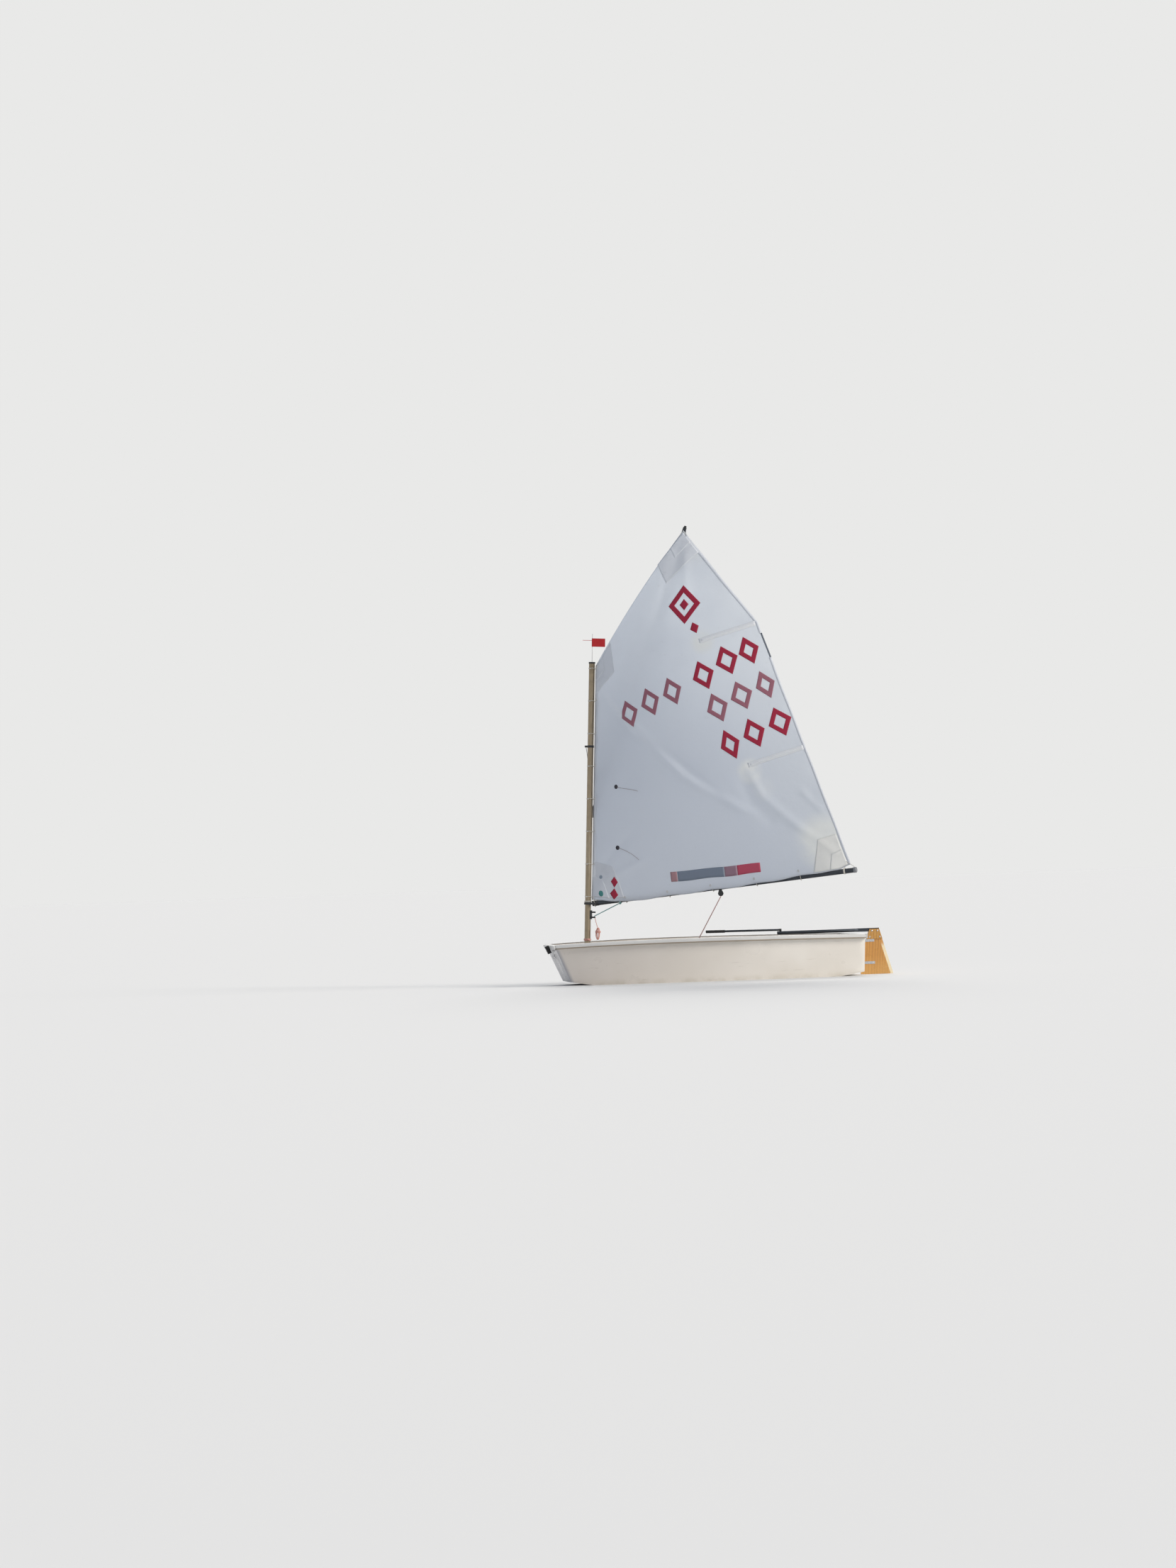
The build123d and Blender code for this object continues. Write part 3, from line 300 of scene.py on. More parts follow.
def inner_gel_coat():
    f = Finish("inner_gel_coat", (224, 221, 213), 0.42, Coat_Weight=0.15, Coat_Roughness=0.3)
    f.stain(f.noise(3.5, 5), 0.45, 0.7, 0.4, (198, 193, 182))
    f.stain(f.noise(30, 6, roughness=0.7), 0.52, 0.7, 0.3, (150, 143, 130))
    f.shine(f.noise(11, 4), 0.34, 0.55)
    return f.relief(f.noise(90, 3), 0.0002)


def rubbing_strake():
    f = Finish("rubbing_strake", (214, 213, 210), 0.38)
    scratches = f.noise(60, 6, (0.08, 1, 1.5), 0.75)
    f.stain(scratches, 0.58, 0.7, 0.55, (158, 157, 154))
    f.stain(f.noise(2.6, 3), 0.45, 0.7, 0.35, (190, 189, 188))
    f.shine(f.noise(15, 4), 0.3, 0.52)
    return f.relief(scratches, 0.0003)


def brushed(name, colour, dark, roughness, grain=None, **sockets):
    f = Finish(name, colour, roughness, Metallic=1.0, **sockets)
    lines = f.noise(420, 3, grain, 0.6)
    f.stain(lines, 0.35, 0.75, 0.5, dark)
    f.stain(f.noise(6, 4), 0.55, 0.75, 0.5, dark)
    f.shine(f.noise(24, 5), roughness - 0.08, roughness + 0.14)
    return f.relief(lines, 0.00006)


def mast_alloy():
    """Dull anodised tube under a clear coat, brushed lengthwise, with long pale patches."""
    f = brushed("mast_alloy", (150, 136, 114), (104, 90, 70), 0.42, (1, 1, 0.03), Anisotropic=0.3,
                Coat_Weight=0.7, Coat_Roughness=0.16)
    return f.stain(f.noise(8, 5, (1, 1, 0.15)), 0.5, 0.72, 0.5, (186, 176, 158))


def moulded(name, colour, worn, roughness=0.5):
    f = Finish(name, colour, roughness)
    f.stain(f.noise(70, 6, roughness=0.7), 0.56, 0.72, 0.5, worn)
    f.shine(f.noise(18, 4), roughness - 0.1, roughness + 0.18)
    return f.relief(f.noise(900, 2), 0.00012)


def two_tone(name, tones, direction, origin, second, metal=False):
    """Plastic that turns to a second colour, and to metal where asked, past a plane."""
    f = moulded(name, *tones)
    past = f.ramp(f.along(direction, origin), 0.0, COLOUR_EDGE)
    if metal:
        f.feed(f.shader.inputs["Metallic"], past)
    return f.tint(past, second)


def varnished_wood(name, colour, dark, pale):
    """Grain along Z in the plate's plane, under clear varnish."""
    f = Finish(name, colour, 0.32, Coat_Weight=0.5, Coat_Roughness=0.08)
    bend = f.noise(2.2, 3, (1, 1, 0.35))
    rings = f.maths("ADD", f.maths("MULTIPLY", f.along((1, 0.6, 0.04)), 95), f.maths("MULTIPLY", bend, 13))
    f.stain(f.maths("SINE", f.maths("MULTIPLY", rings, pi)), 0.1, 1.0, 0.55, dark)
    fibres = f.noise(260, 4, (1, 1, 0.035), 0.6)
    f.stain(fibres, 0.5, 0.72, 0.5, dark)
    f.stain(f.noise(4, 3, (1, 1, 0.4)), 0.5, 0.75, 0.45, pale)
    f.shine(f.noise(12, 4), 0.22, 0.42)
    return f.relief(fibres, 0.00012)


def rudder_wood():
    """The blade's wood, with a pale bevel along its trailing edge and water stains low down."""
    f = varnished_wood("rudder_wood", (198, 142, 66), (160, 102, 40), (218, 168, 90))
    slope = radians(16.4)
    bevel = (-0.0225, -0.0205)
    leaning = f.ramp(f.along((-cos(slope), 0, sin(slope)), (-1.339, 0, 0.338)), *bevel)
    upright = f.ramp(f.along(-AHEAD, (-1.435, 0, 0)), *bevel)
    f.stain(f.along(-UP), -0.16, 0.0, 0.4, (224, 180, 108))
    f.stain(f.along(-UP), 0.0, 0.1, 0.5, (120, 84, 44))
    below_cheeks = f.ramp(f.along(-UP), -0.24, -0.20)
    return f.tint(f.maths("MULTIPLY", f.maths("MAXIMUM", leaning, upright), below_cheeks), (228, 212, 176))


def board_enamel():
    f = Finish("board_enamel", (224, 220, 208), 0.22, Coat_Weight=0.4, Coat_Roughness=0.08)
    rubbed = f.noise(34, 5, (1, 1, 0.05), 0.65)
    f.stain(rubbed, 0.56, 0.7, 0.4, (182, 176, 162))
    f.stain(f.noise(3, 3), 0.45, 0.7, 0.3, (206, 200, 186))
    f.shine(f.noise(12, 4), 0.16, 0.34)
    return f.relief(rubbed, 0.0002)


def flag_film():
    f = Finish("flag_film", (200, 36, 44), 0.45)
    f.stain(f.noise(40, 4), 0.5, 0.75, 0.4, (160, 26, 34))
    f.relief(f.noise(60, 3), 0.0006)
    return f.translucent(0.25, (220, 60, 56))


def grip_alloy():
    """The extension: dark tube with a ribbed rubber grip at its free end and a rubber joint at its pivot."""
    f = brushed("grip_alloy", *DARK)
    far = f.ramp(f.along(EXTENSION_WAY, EXTENSION_PIVOT), 0.464, 0.464 + COLOUR_EDGE)
    near = f.ramp(f.along(EXTENSION_WAY, EXTENSION_PIVOT), 0.012 + COLOUR_EDGE, 0.012)
    rubber = f.maths("MAXIMUM", far, near)
    f.tint(rubber, (28, 28, 30))
    f.feed(f.shader.inputs["Metallic"], f.maths("SUBTRACT", 1.0, rubber))
    return f.relief(f.maths("MULTIPLY", f.threads(160, EXTENSION_WAY), far), 0.0006)


def webbing(name, colour, stripe, weft):
    f = Finish(name, colour, 0.75, Sheen_Weight=0.3, Sheen_Roughness=0.5)
    weave = f.weave(700, AHEAD, weft)
    f.stain(weave, -0.2, 0.9, 0.5, stripe)
    f.stain(f.noise(14, 4), 0.5, 0.75, 0.4, stripe)
    return f.relief(weave, 0.0004)


def cordage(name, colour, fleck, fleck_share=0.4):
    """Laid or braided line; the strands are in the mesh."""
    f = Finish(name, colour, 0.78, Sheen_Weight=0.25, Sheen_Roughness=0.5)
    f.stain(f.noise(380, 3), 0.5, 0.56, fleck_share, fleck)
    f.stain(f.noise(30, 4), 0.45, 0.75, 0.35, fleck)
    return f.relief(f.noise(1800, 2), 0.0002)


def sail_cloth():
    """Crisp translucent cloth, in the rig's own frame: -X towards the leech, Z up the mast."""
    f = Finish("sail_cloth", (209, 214, 222), 0.5, RIG_FRAME, Sheen_Weight=0.15, Sheen_Roughness=0.4)
    # painted light: the cloth grows much paler aloft
    f.stain(f.along(UP), *ALOFT, 0.95, (249, 252, 255))
    # painted light: warmer and paler towards the leech aloft
    f.stain(f.along((-0.93, 0, 0.36)), 1.45, 2.05, 0.35, (222, 225, 226))
    f.stain(f.along(UP), 2.7, 3.05, 0.6, (205, 208, 210))
    f.stain(f.noise(1.5, 3), 0.45, 0.75, 0.3, (200, 206, 216))
    # painted light: warm cream patches where sunlight falls on the cloth
    for spot, full, none, share in PAINTED_SUNLIT_PATCHES:
        patchy = f.ramp(f.noise(7, 3), 0.25, 0.6, 0.4 * share, share)
        f.tint(f.maths("MULTIPLY", f.near(spot, full, none), patchy), (242, 241, 232))
    f.stain(f.noise(22, 6, roughness=0.7), 0.6, 0.75, 0.2, (176, 176, 172))
    weave = f.weave(420, AHEAD, UP)
    f.stain(weave, 0.2, 1.0, 0.1, (168, 174, 184))
    f.shine(f.noise(8, 4), 0.42, 0.6)
    f.relief(f.noise(26, 4, roughness=0.6), 0.0012)
    f.relief(weave, 0.00008)
    return f.translucent(0.42, (234, 238, 244))


def sail_tape(name, colour, share=0.3, aloft=None):
    """Cloth stuck or sewn on the sail, in a second colour aloft where one is given: painted light, paler aloft as
    the cloth is.
    """
    f = Finish(name, colour, 0.55, RIG_FRAME, Sheen_Weight=0.15, Sheen_Roughness=0.4)
    if aloft:
        # painted light: paler aloft
        f.stain(f.along(UP), *ALOFT, 1.0, aloft)
    f.stain(f.noise(18, 5), 0.5, 0.75, 0.3, colour, 0.85)
    f.relief(f.weave(420, AHEAD, UP), 0.0001)
    return f.translucent(share, colour)


def bag_fabric():
    """Coated fabric, pale grey, with a soft sheen and a fine weave."""
    f = Finish("bag_fabric", (208, 208, 210), 0.42, Coat_Weight=0.2, Coat_Roughness=0.35)
    f.stain(f.noise(5, 4), 0.45, 0.72, 0.45, (184, 184, 188))
    f.stain(f.noise(45, 6, roughness=0.7), 0.58, 0.72, 0.3, (150, 148, 144))
    f.shine(f.noise(12, 4), 0.34, 0.55)
    f.relief(f.noise(16, 3), 0.0025)
    return f.relief(f.weave(520, AHEAD, (0, 0.7, 0.7)), 0.0001)


# painted light: the sail's colour grows paler between these heights
ALOFT = (1.2, 2.7)                          # heights between which the sail grows paler
# Patches of painted warm sunlight on the cloth: place in the rig's frame, radii of full and no strength, and
# strength
PAINTED_SUNLIT_PATCHES = (
    ((-1.84, 0.05, 0.76), 0.10, 0.26, 0.8), ((-1.30, 0.15, 1.27), 0.05, 0.12, 0.75),
    ((-1.40, 0.15, 1.14), 0.03, 0.12, 0.2), ((-0.94, 0.20, 2.21), 0.05, 0.12, 0.7),
    ((-0.76, 0.12, 2.99), 0.05, 0.30, 0.5),
)
BLACK = ((40, 41, 44), (78, 79, 82))
DARK = ((74, 78, 84), (44, 47, 52), 0.36)
DARK_ALLOY = brushed("dark_alloy", *DARK)
STEEL = brushed("steel", (206, 206, 208), (150, 150, 152), 0.26)
# painted shade: the dark bead under the gunwale stands in for its shadow line
SHADOW_BEAD = moulded("painted_shadow_line", (150, 138, 122), (118, 108, 96), 0.7)
BLACK_PLASTIC = moulded("black_plastic", *BLACK)
PALE_PLASTIC = moulded("pale_plastic", (200, 202, 204), (150, 152, 156), 0.42)
RUBBER = moulded("rubber", (30, 30, 32), (58, 58, 60), 0.75)
WEBBING = webbing("webbing", (46, 46, 50), (22, 22, 24), PORT)
BAG_WEBBING = webbing("bag_webbing", (52, 52, 58), (24, 24, 28), (0, 0.6, 0.8))
BAG_FABRIC = bag_fabric()
SAIL_CLOTH = sail_cloth()
# tape finishes: colour, translucent share and, for sail_tape and pocket_tape, a paler colour aloft that is painted
# light
TAPES = {name: sail_tape(name, *rest) for name, *rest in (
    ("sail_tape", (219, 223, 230), 0.12, (234, 238, 244)),
    ("pocket_tape", (236, 239, 243), 0.12, (250, 252, 255)),
    ("cream_tape", (242, 242, 238), 0.12),
    ("dark_tape", (110, 118, 130), 0.15),
    ("red_mark", (172, 26, 62), 0.2),
    # painted shade: a mark seen through the cloth from its other side
    ("painted_show_through_mark", (186, 124, 140), 0.4),
    ("blue_strip", (138, 150, 168)),
    ("mauve_strip", (168, 134, 150)),
    ("pink_strip", (206, 86, 112)),
    ("pale_pink_strip", (192, 150, 156)),
    ("teal_disc", (74, 142, 140), 0.15),
    ("blue_disc", (150, 164, 178), 0.15),
    ("navy_disc", (26, 26, 42), 0.05),
)}
ROPES = {name: cordage(name, *rest) for name, *rest in (
    ("sheet_rope", (220, 190, 184), (176, 92, 96)),
    ("pale_rope", (214, 210, 200), (150, 150, 148), 0.3),
    ("teal_rope", (96, 160, 162), (208, 212, 208)),
    ("pink_rope", (214, 150, 140), (232, 208, 190)),
    ("dark_rope", (58, 60, 66), (150, 152, 156), 0.25),
    ("yarn", (126, 104, 100), (170, 150, 146), 0.5),
)}
SHARP = radians(38)                         # an edge that turns more than this is rounded
WELD_GAP = 0.00002
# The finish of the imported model's pieces, and how far their sharp edges are rounded, 0 for not at all
NODES = (
    (gel_coat(), {"hull_bottom": 0.002, "side_port": 0.0012, "side_starboard": 0.0012, "bow_transom": 0.0015,
                  "stern_transom": 0.0015}),
    (inner_gel_coat(), {"mast_thwart": 0.003, "midship_bulkhead": 0.0025, "daggerboard_case": 0.0015}),
    (rubbing_strake(), {"gunwale_port": 0.0035, "gunwale_starboard": 0.0035, "bow_gunwale": 0.0025,
                        "stern_gunwale": 0.0025}),
    (BLACK_PLASTIC, {"mast_bearings": 0.0012, "case_cap": 0.0018, "ratchet_block": 0.0008, "sprit_ends": 0.001}),
    (RUBBER, {"bow_fender": 0.003}),
    (STEEL, {"painter_eye": 0.0006, "transom_gudgeons": 0.0005, "rudder_pintles": 0.0005}),
    (mast_alloy(), {"mast": 0.0}),
    (DARK_ALLOY, {"boom": 0.0, "sprit": 0.0, "tiller": 0.0012}),
    (two_tone("mast_plastic", BLACK, MAST_WAY, MAST_FRAME @ (UP * MAST_CAP_HEIGHT), (190, 190, 192), True),
     {"mast_fittings": 0.0008}),
    (two_tone("boom_plastic", BLACK, BOOM_FRAME.to_3x3() @ -AHEAD, BOOM_FRAME @ (AHEAD * (0.001 - BOOM_LENGTH)),
              (128, 130, 134)), {"boom_fittings": 0.0008}),
    (varnished_wood("cheek_wood", (196, 146, 70), (150, 98, 38), (216, 172, 98)),
     {"rudder_cheeks": 0.0022, "daggerboard_stops": 0.002}),
    (rudder_wood(), {"rudder_blade": 0.002}),
    (board_enamel(), {"daggerboard": 0.003}),
    (grip_alloy(), {"tiller_extension": 0.001}),
    (flag_film(), {"wind_vane": 0.0}),
)


def finish_nodes():
    for finish, roundings in NODES:
        for name, width in roundings.items():
            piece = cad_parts[name]
            piece.data.materials.clear()
            piece.data.materials.append(finish.made)
            if width:
                piece.modifiers.new("weld", "WELD").merge_threshold = WELD_GAP
                rounding = piece.modifiers.new("rounding", "BEVEL")
                rounding.width = width
                rounding.segments = 2
                rounding.limit_method = "ANGLE"
                rounding.angle_limit = SHARP
                rounding.harden_normals = True


# Meshes. A part is its points and its faces.

def mesh_piece(name, parts, finish, body="", place=Matrix()):
    """Parts as one object, which may ride on a body."""
    points, faces = [], []
    for part_points, part_faces in parts:
        faces += [[index + len(points) for index in face] for face in part_faces]
        points += [place @ Vector(point) for point in part_points]
    data = bpy.data.meshes.new(name)
    data.from_pydata(points, [], faces)
    work = bmesh.new()
    work.from_mesh(data)
    bmesh.ops.remove_doubles(work, verts=work.verts, dist=1e-6)
    bmesh.ops.recalc_face_normals(work, faces=work.faces)
    work.to_mesh(data)
    work.free()
    data.polygons.foreach_set("use_smooth", [True] * len(data.polygons))
    data.materials.append(finish.made)
    piece = bpy.data.objects.new(name, data)
    scene.collection.objects.link(piece)
    if body:
        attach(piece, body)
    return piece


def lofted(rings, closed=False, tips=(None, None), ladder=False):
    """A skin over rings of points. Its ends are flat or run in to a tip. A ladder is the skin of a thin slab: each
    ring runs along one layer and back along the other, and rungs join the two at the ends."""
    sides = len(rings[0])
    points = [point for ring in rings for point in ring]
    last = len(points) - sides
    faces = []
    for a in range(0, len(points) if closed else last, sides):
        b = (a + sides) % len(points)
        for k in range(sides):
            face = (a + k, a + (k + 1) % sides, b + (k + 1) % sides, b + k)
            # the two layers of a slab are split along the same diagonals
            faces.append(face[1:] + face[:1] if ladder and k >= sides // 2 else face)
    if not closed:
        for first, tip in zip((0, last), tips):
            if ladder:
                faces += [(first + k, first + k + 1, first + sides - 2 - k, first + sides - 1 - k)
                          for k in range(sides // 2 - 1)]
            elif tip:
                points.append(tip)
                faces += [(first + k, first + (k + 1) % sides, len(points) - 1) for k in range(sides)]
            else:
                faces.append(range(first, first + sides))
    return points, faces


def turns(count):
    """Angles evenly round a circle."""
    return [2 * pi * k / count for k in range(count)]


def sideways(normal):
    """Three directions square to each other, of which the first is the normal's."""
    normal = Vector(normal).normalized()
    side = normal.orthogonal().normalized()
    return normal, side, normal.cross(side)


def ring_points(centre, radius, normal, count):
    _, side, other = sideways(normal)
    return [Vector(centre) + (side * cos(angle) + other * sin(angle)) * radius for angle in turns(count)]


STRANDS = 3
STRAND_DEPTH = 0.2
LAY = 7                                     # diameters of line in which a strand winds once round it


def tube(path, radius, sides, closed=False, twist=0.0):
    """A tube along a path, of one radius or a list of them. With a twist, in radians to the metre, strands wind
    round it."""
    rings = []
    count = len(path)
    side, run = None, 0.0
    for i, point in enumerate(path):
        after = path[(i + 1) % count] if closed else path[min(i + 1, count - 1)]
        before = path[i - 1] if closed else path[max(i - 1, 0)]
        way = (after - before).normalized()
        side = side or way.orthogonal().normalized()
        side = (side - way * side.dot(way)).normalized()
        other = way.cross(side)
        run += (point - path[i - 1]).length if i else 0.0
        ring = []
        for angle in turns(sides):
            size = radius[i] if isinstance(radius, list) else radius
            if twist:
                size *= 1 - STRAND_DEPTH + STRAND_DEPTH * abs(cos(STRANDS * (angle - twist * run) / 2))
            ring.append(point + (side * cos(angle) + other * sin(angle)) * size)
        rings.append(ring)
    return lofted(rings, closed)


def smooth_path(points, spacing, closed):
    """A curve through the points, with points of its own about spacing apart."""
    last = len(points) - 1
    path = []
    for i in range(last + closed):
        a, b, c, d = (points[(i + k) % len(points) if closed else min(max(i + k, 0), last)] for k in (-1, 0, 1, 2))
        steps = max(1, round((c - b).length / spacing))
        for t in (step / steps for step in range(steps)):
            path.append(0.5 * (2 * b + (c - a) * t + (2 * a - 5 * b + 4 * c - d) * t * t
                               + (3 * b - a - 3 * c + d) * t * t * t))
    return path if closed else path + [points[-1]]


def rope(points, diameter, closed=False, straight=False):
    """Laid line through the points."""
    points = [Vector(point) for point in points]
    spacing = max(diameter * 0.35, 0.0011)
    if straight:
        start, end = points
        steps = max(2, round((end - start).length / spacing))
        path = [start.lerp(end, i / steps) for i in range(steps + 1)]
    else:
        path = smooth_path(points, spacing, closed)
    return tube(path, diameter / 2, 12, closed, 2 * pi / (diameter * LAY))


def hoops(centre, way, radius, cord, gap, count):
    """Three turns of cord side by side round a spar."""
    return [rope(ring_points(centre + way * shift, radius, way, count), cord, True) for shift in (-gap, 0.0, gap)]


def knot(centre, size, cord, way):
    """A small overhand knot: a trefoil of the cord, drawn tight."""
    way, side, other = sideways(way)
    path = []
    for t in turns(48):
        x, y, z = sin(t) + 2 * sin(2 * t), cos(t) - 2 * cos(2 * t), -sin(3 * t)
        path.append(Vector(centre) + (side * x + other * y + way * (1.3 * z)) * (size / 6))
    return tube(path, cord / 2, 8, True)


def screw(centre, radius, height, normal):
    """A pan-head screw with a round hollow in its head."""
    centre, normal = Vector(centre), Vector(normal)
    profile = ((1.0, -0.2), (1.0, 0.35), (0.86, 0.78), (0.55, 1.0), (0.3, 1.0))
    return lofted([ring_points(centre + normal * (height * level), radius * share, normal, 18)
                   for share, level in profile], tips=(None, centre + normal * (height * 0.45)))


def strap(path, across, width, thickness):
    """A band of webbing along a path, as wide as width in the direction across, with rounded edges."""
    half, edge = width / 2, thickness / 2
    section = [(-half + edge, edge), (-half, 0), (-half + edge, -edge), (0, -edge),
               (half - edge, -edge), (half, 0), (half - edge, edge), (0, edge)]
    rings = []
    for i, point in enumerate(path):
        way = (path[min(i + 1, len(path) - 1)] - path[max(i - 1, 0)]).normalized()
        wide = (across - way * across.dot(way)).normalized()
        rings.append([point + wide * x + way.cross(wide) * y for x, y in section])
    return lofted(rings)


def block(size, place, chamfer=0.001):
    """A block with chamfered edges."""
    work = bmesh.new()
    bmesh.ops.create_cube(work, size=1.0, matrix=place @ Matrix.Diagonal((*size, 1)))
    bmesh.ops.bevel(work, geom=list(work.edges), offset=chamfer, segments=2, profile=0.6, affect="EDGES")
    work.verts.index_update()
    part = [vertex.co.copy() for vertex in work.verts], [[v.index for v in face.verts] for face in work.faces]
    work.free()
    return part


# Sail. A spot is (reach, height) as seen square to the sail, or (across, up) as shares of its chord and luff.

CLOTH_HALF = 0.0005
SAIL_COLUMNS = 160
SAIL_LINES = 200
# How far the two faces of what lies on the cloth are from its middle
TAPED = (0.0003, 0.0009)
SEWN = (0.0004, 0.0010)
MARKED = (0.0004, 0.0012)
POCKETED = (0.0004, 0.0011)
FACED = (0.0009, 0.0015)
STUCK = (0.0013, 0.0018)
MARK_LEAN = radians(24)
# Creases: a line of (reach, height) points, its depth and its width; a positive depth stands out to port
CREASES = (
    (((0.040, 1.969), (0.504, 1.518), (0.811, 1.232), (1.172, 1.028), (1.321, 0.957)), 0.014, 0.036),
    (((0.060, 1.900), (0.392, 1.556), (0.771, 1.331), (1.023, 1.125), (1.131, 1.048)), -0.010, 0.036),
    (((1.277, 1.313), (1.399, 1.087), (1.564, 0.939), (1.710, 0.828)), 0.010, 0.035),
    (((1.230, 1.220), (1.330, 1.020), (1.500, 0.860)), -0.006, 0.040),
    (((1.660, 1.147), (1.846, 0.964)), 0.006, 0.028),
    (((0.060, 0.420), (0.520, 0.640)), 0.006, 0.03),
    (((0.060, 0.520), (0.420, 0.860)), -0.004, 0.035),
    (((1.980, 0.660), (1.600, 0.900)), 0.005, 0.03),
    (((0.757, 2.971), (0.667, 2.666), (0.551, 2.299)), -0.007, 0.055),
    (((0.760, 2.960), (0.820, 2.500)), 0.005, 0.04),
)
FOOT_TIE_SPOTS = (0.302, 0.640, 0.978, 1.316, 1.654)
FOOT_TIE_STEP = FOOT_TIE_SPOTS[1] - FOOT_TIE_SPOTS[0]
FOOT_HANG = 0.055
FOOT_LAP = 0.022                            # how far to port the foot's lap reaches
FOOT_SCALLOP = 0.004
LUFF_SCALLOP = 0.0035
LUFF_TIE_STEP = 0.245
FLUTTER = 0.004
FLUTTER_WAVES = 6.3
# Sewn patches at the sail's corners, and the smaller facings on them: tack, peak, throat and clew
CORNER_PATCHES = (
    ((0.030, 0.332), (0.300, 0.372), (0.200, 0.560), (0.030, 0.600)),
    ((0.750, 3.030), (0.560, 2.790), (0.640, 2.650), (0.880, 2.880)),
    ((0.030, 2.035), (0.170, 2.220), (0.220, 2.000), (0.030, 1.830)),
)
CORNER_FACINGS = (
    ((0.030, 0.332), (0.180, 0.354), (0.120, 0.460), (0.030, 0.490)),
    ((0.750, 3.030), (0.655, 2.910), (0.695, 2.840), (0.815, 2.955)),
    ((0.030, 2.035), (0.100, 2.128), (0.125, 2.018), (0.030, 1.930)),
)
CLEW_PATCH = ((2.010, 0.604), (1.920, 0.820), (1.790, 0.780), (1.760, 0.572))
CLEW_FACING = ((2.010, 0.604), (1.965, 0.712), (1.890, 0.690), (1.880, 0.586))
BATTENS = (((0.935, 2.218), (1.335, 2.352)), ((1.300, 1.310), (1.690, 1.448)))
FOOT_STRIP = (Vector((0.667, 0.509)), Vector((1.359, 0.596)))
# Hollow diamonds: reach, height, width and height
BRIGHT_DIAMONDS = (
    (0.976, 1.968, 0.170, 0.225), (1.145, 2.078, 0.170, 0.225), (1.298, 2.152, 0.150, 0.215),
    (1.172, 1.462, 0.150, 0.230), (1.345, 1.548, 0.165, 0.225), (1.525, 1.632, 0.170, 0.225),
)
# diamonds on the starboard side; on the port side they come back as painted shade where they show through the cloth
STARBOARD_DIAMONDS = (
    (0.373, 1.687, 0.160, 0.215), (0.554, 1.774, 0.165, 0.220), (0.736, 1.851, 0.160, 0.215),
    (1.082, 1.731, 0.165, 0.225), (1.255, 1.822, 0.165, 0.220), (1.420, 1.902, 0.140, 0.215),
)
YARN_LINES = (
    ((0.244, 1.149), (0.310, 1.136), (0.375, 1.129), (0.436, 1.117)),
    ((0.245, 0.698), (0.305, 0.680), (0.370, 0.648), (0.423, 0.610)),
)


def leech_at(up):
    """Leech reach and height at a share up the luff."""
    for low, high in zip(SAIL_ROWS, SAIL_ROWS[1:]):
        if up <= high[0] or high is SAIL_ROWS[-1]:
            share = (up - low[0]) / (high[0] - low[0])
            return mix(low[1], high[1], share), mix(low[2], high[2], share)


def spot_at(reach, height):
    """The shares across and up of a point that is seen square to the sail."""
    def across_at(up):
        return (reach - LUFF_OFFSET) / (leech_at(up)[0] - LUFF_OFFSET)

    def is_below(up):
        return mix(TACK_HEIGHT + up * LUFF_LENGTH, leech_at(up)[1], across_at(up)) < height

    up = crossing(is_below, -0.1, 1.1, 30)
    return across_at(up), up


def crease_depth(reach, height):
    """How far the creases push the cloth to port. They are shallow at their ends."""
    total = 0.0
    for line, depth, width in CREASES:
        nearest = inf
        for index, (a, b) in enumerate(zip(line, line[1:])):
            run = (b[0] - a[0]) ** 2 + (b[1] - a[1]) ** 2
            share = ((reach - a[0]) * (b[0] - a[0]) + (height - a[1]) * (b[1] - a[1])) / run
            share = min(max(share, 0.0), 1.0)
            away = sqrt((reach - mix(a[0], b[0], share)) ** 2 + (height - mix(a[1], b[1], share)) ** 2)
            if away < nearest:
                nearest = away
                place = (index + share) / (len(line) - 1)
                fade = ease(place, 0.0, 0.2) * (1 - ease(place, 0.8, 1.0))
        total += depth * exp(-(nearest / width) ** 2) * (0.25 + 0.75 * fade)
    return total


def foot_fall(across):
    """How far the foot hangs below its chord, and how far to port of it, where it laps over the boom."""
    reach = LUFF_OFFSET + FOOT_REACH * across
    fall = FOOT_HANG * ease(across, -0.03, 0.16)
    fall *= 0.55 * ease(1 - across, -0.005, 0.05) + 0.45 * ease(1 - across, 0.02, 0.45)
    inner = ease(across, 0.04, 0.12) * ease(1 - across, 0.04, 0.12)
    fall -= FOOT_SCALLOP * inner * cos(2 * pi * (reach - FOOT_TIE_SPOTS[0]) / FOOT_TIE_STEP)
    out = FOOT_LAP * ease(across, -0.02, 0.05) * ease(1 - across, 0.0, 0.09) * (1 - 2 * across * (1 - across))
    return fall, out


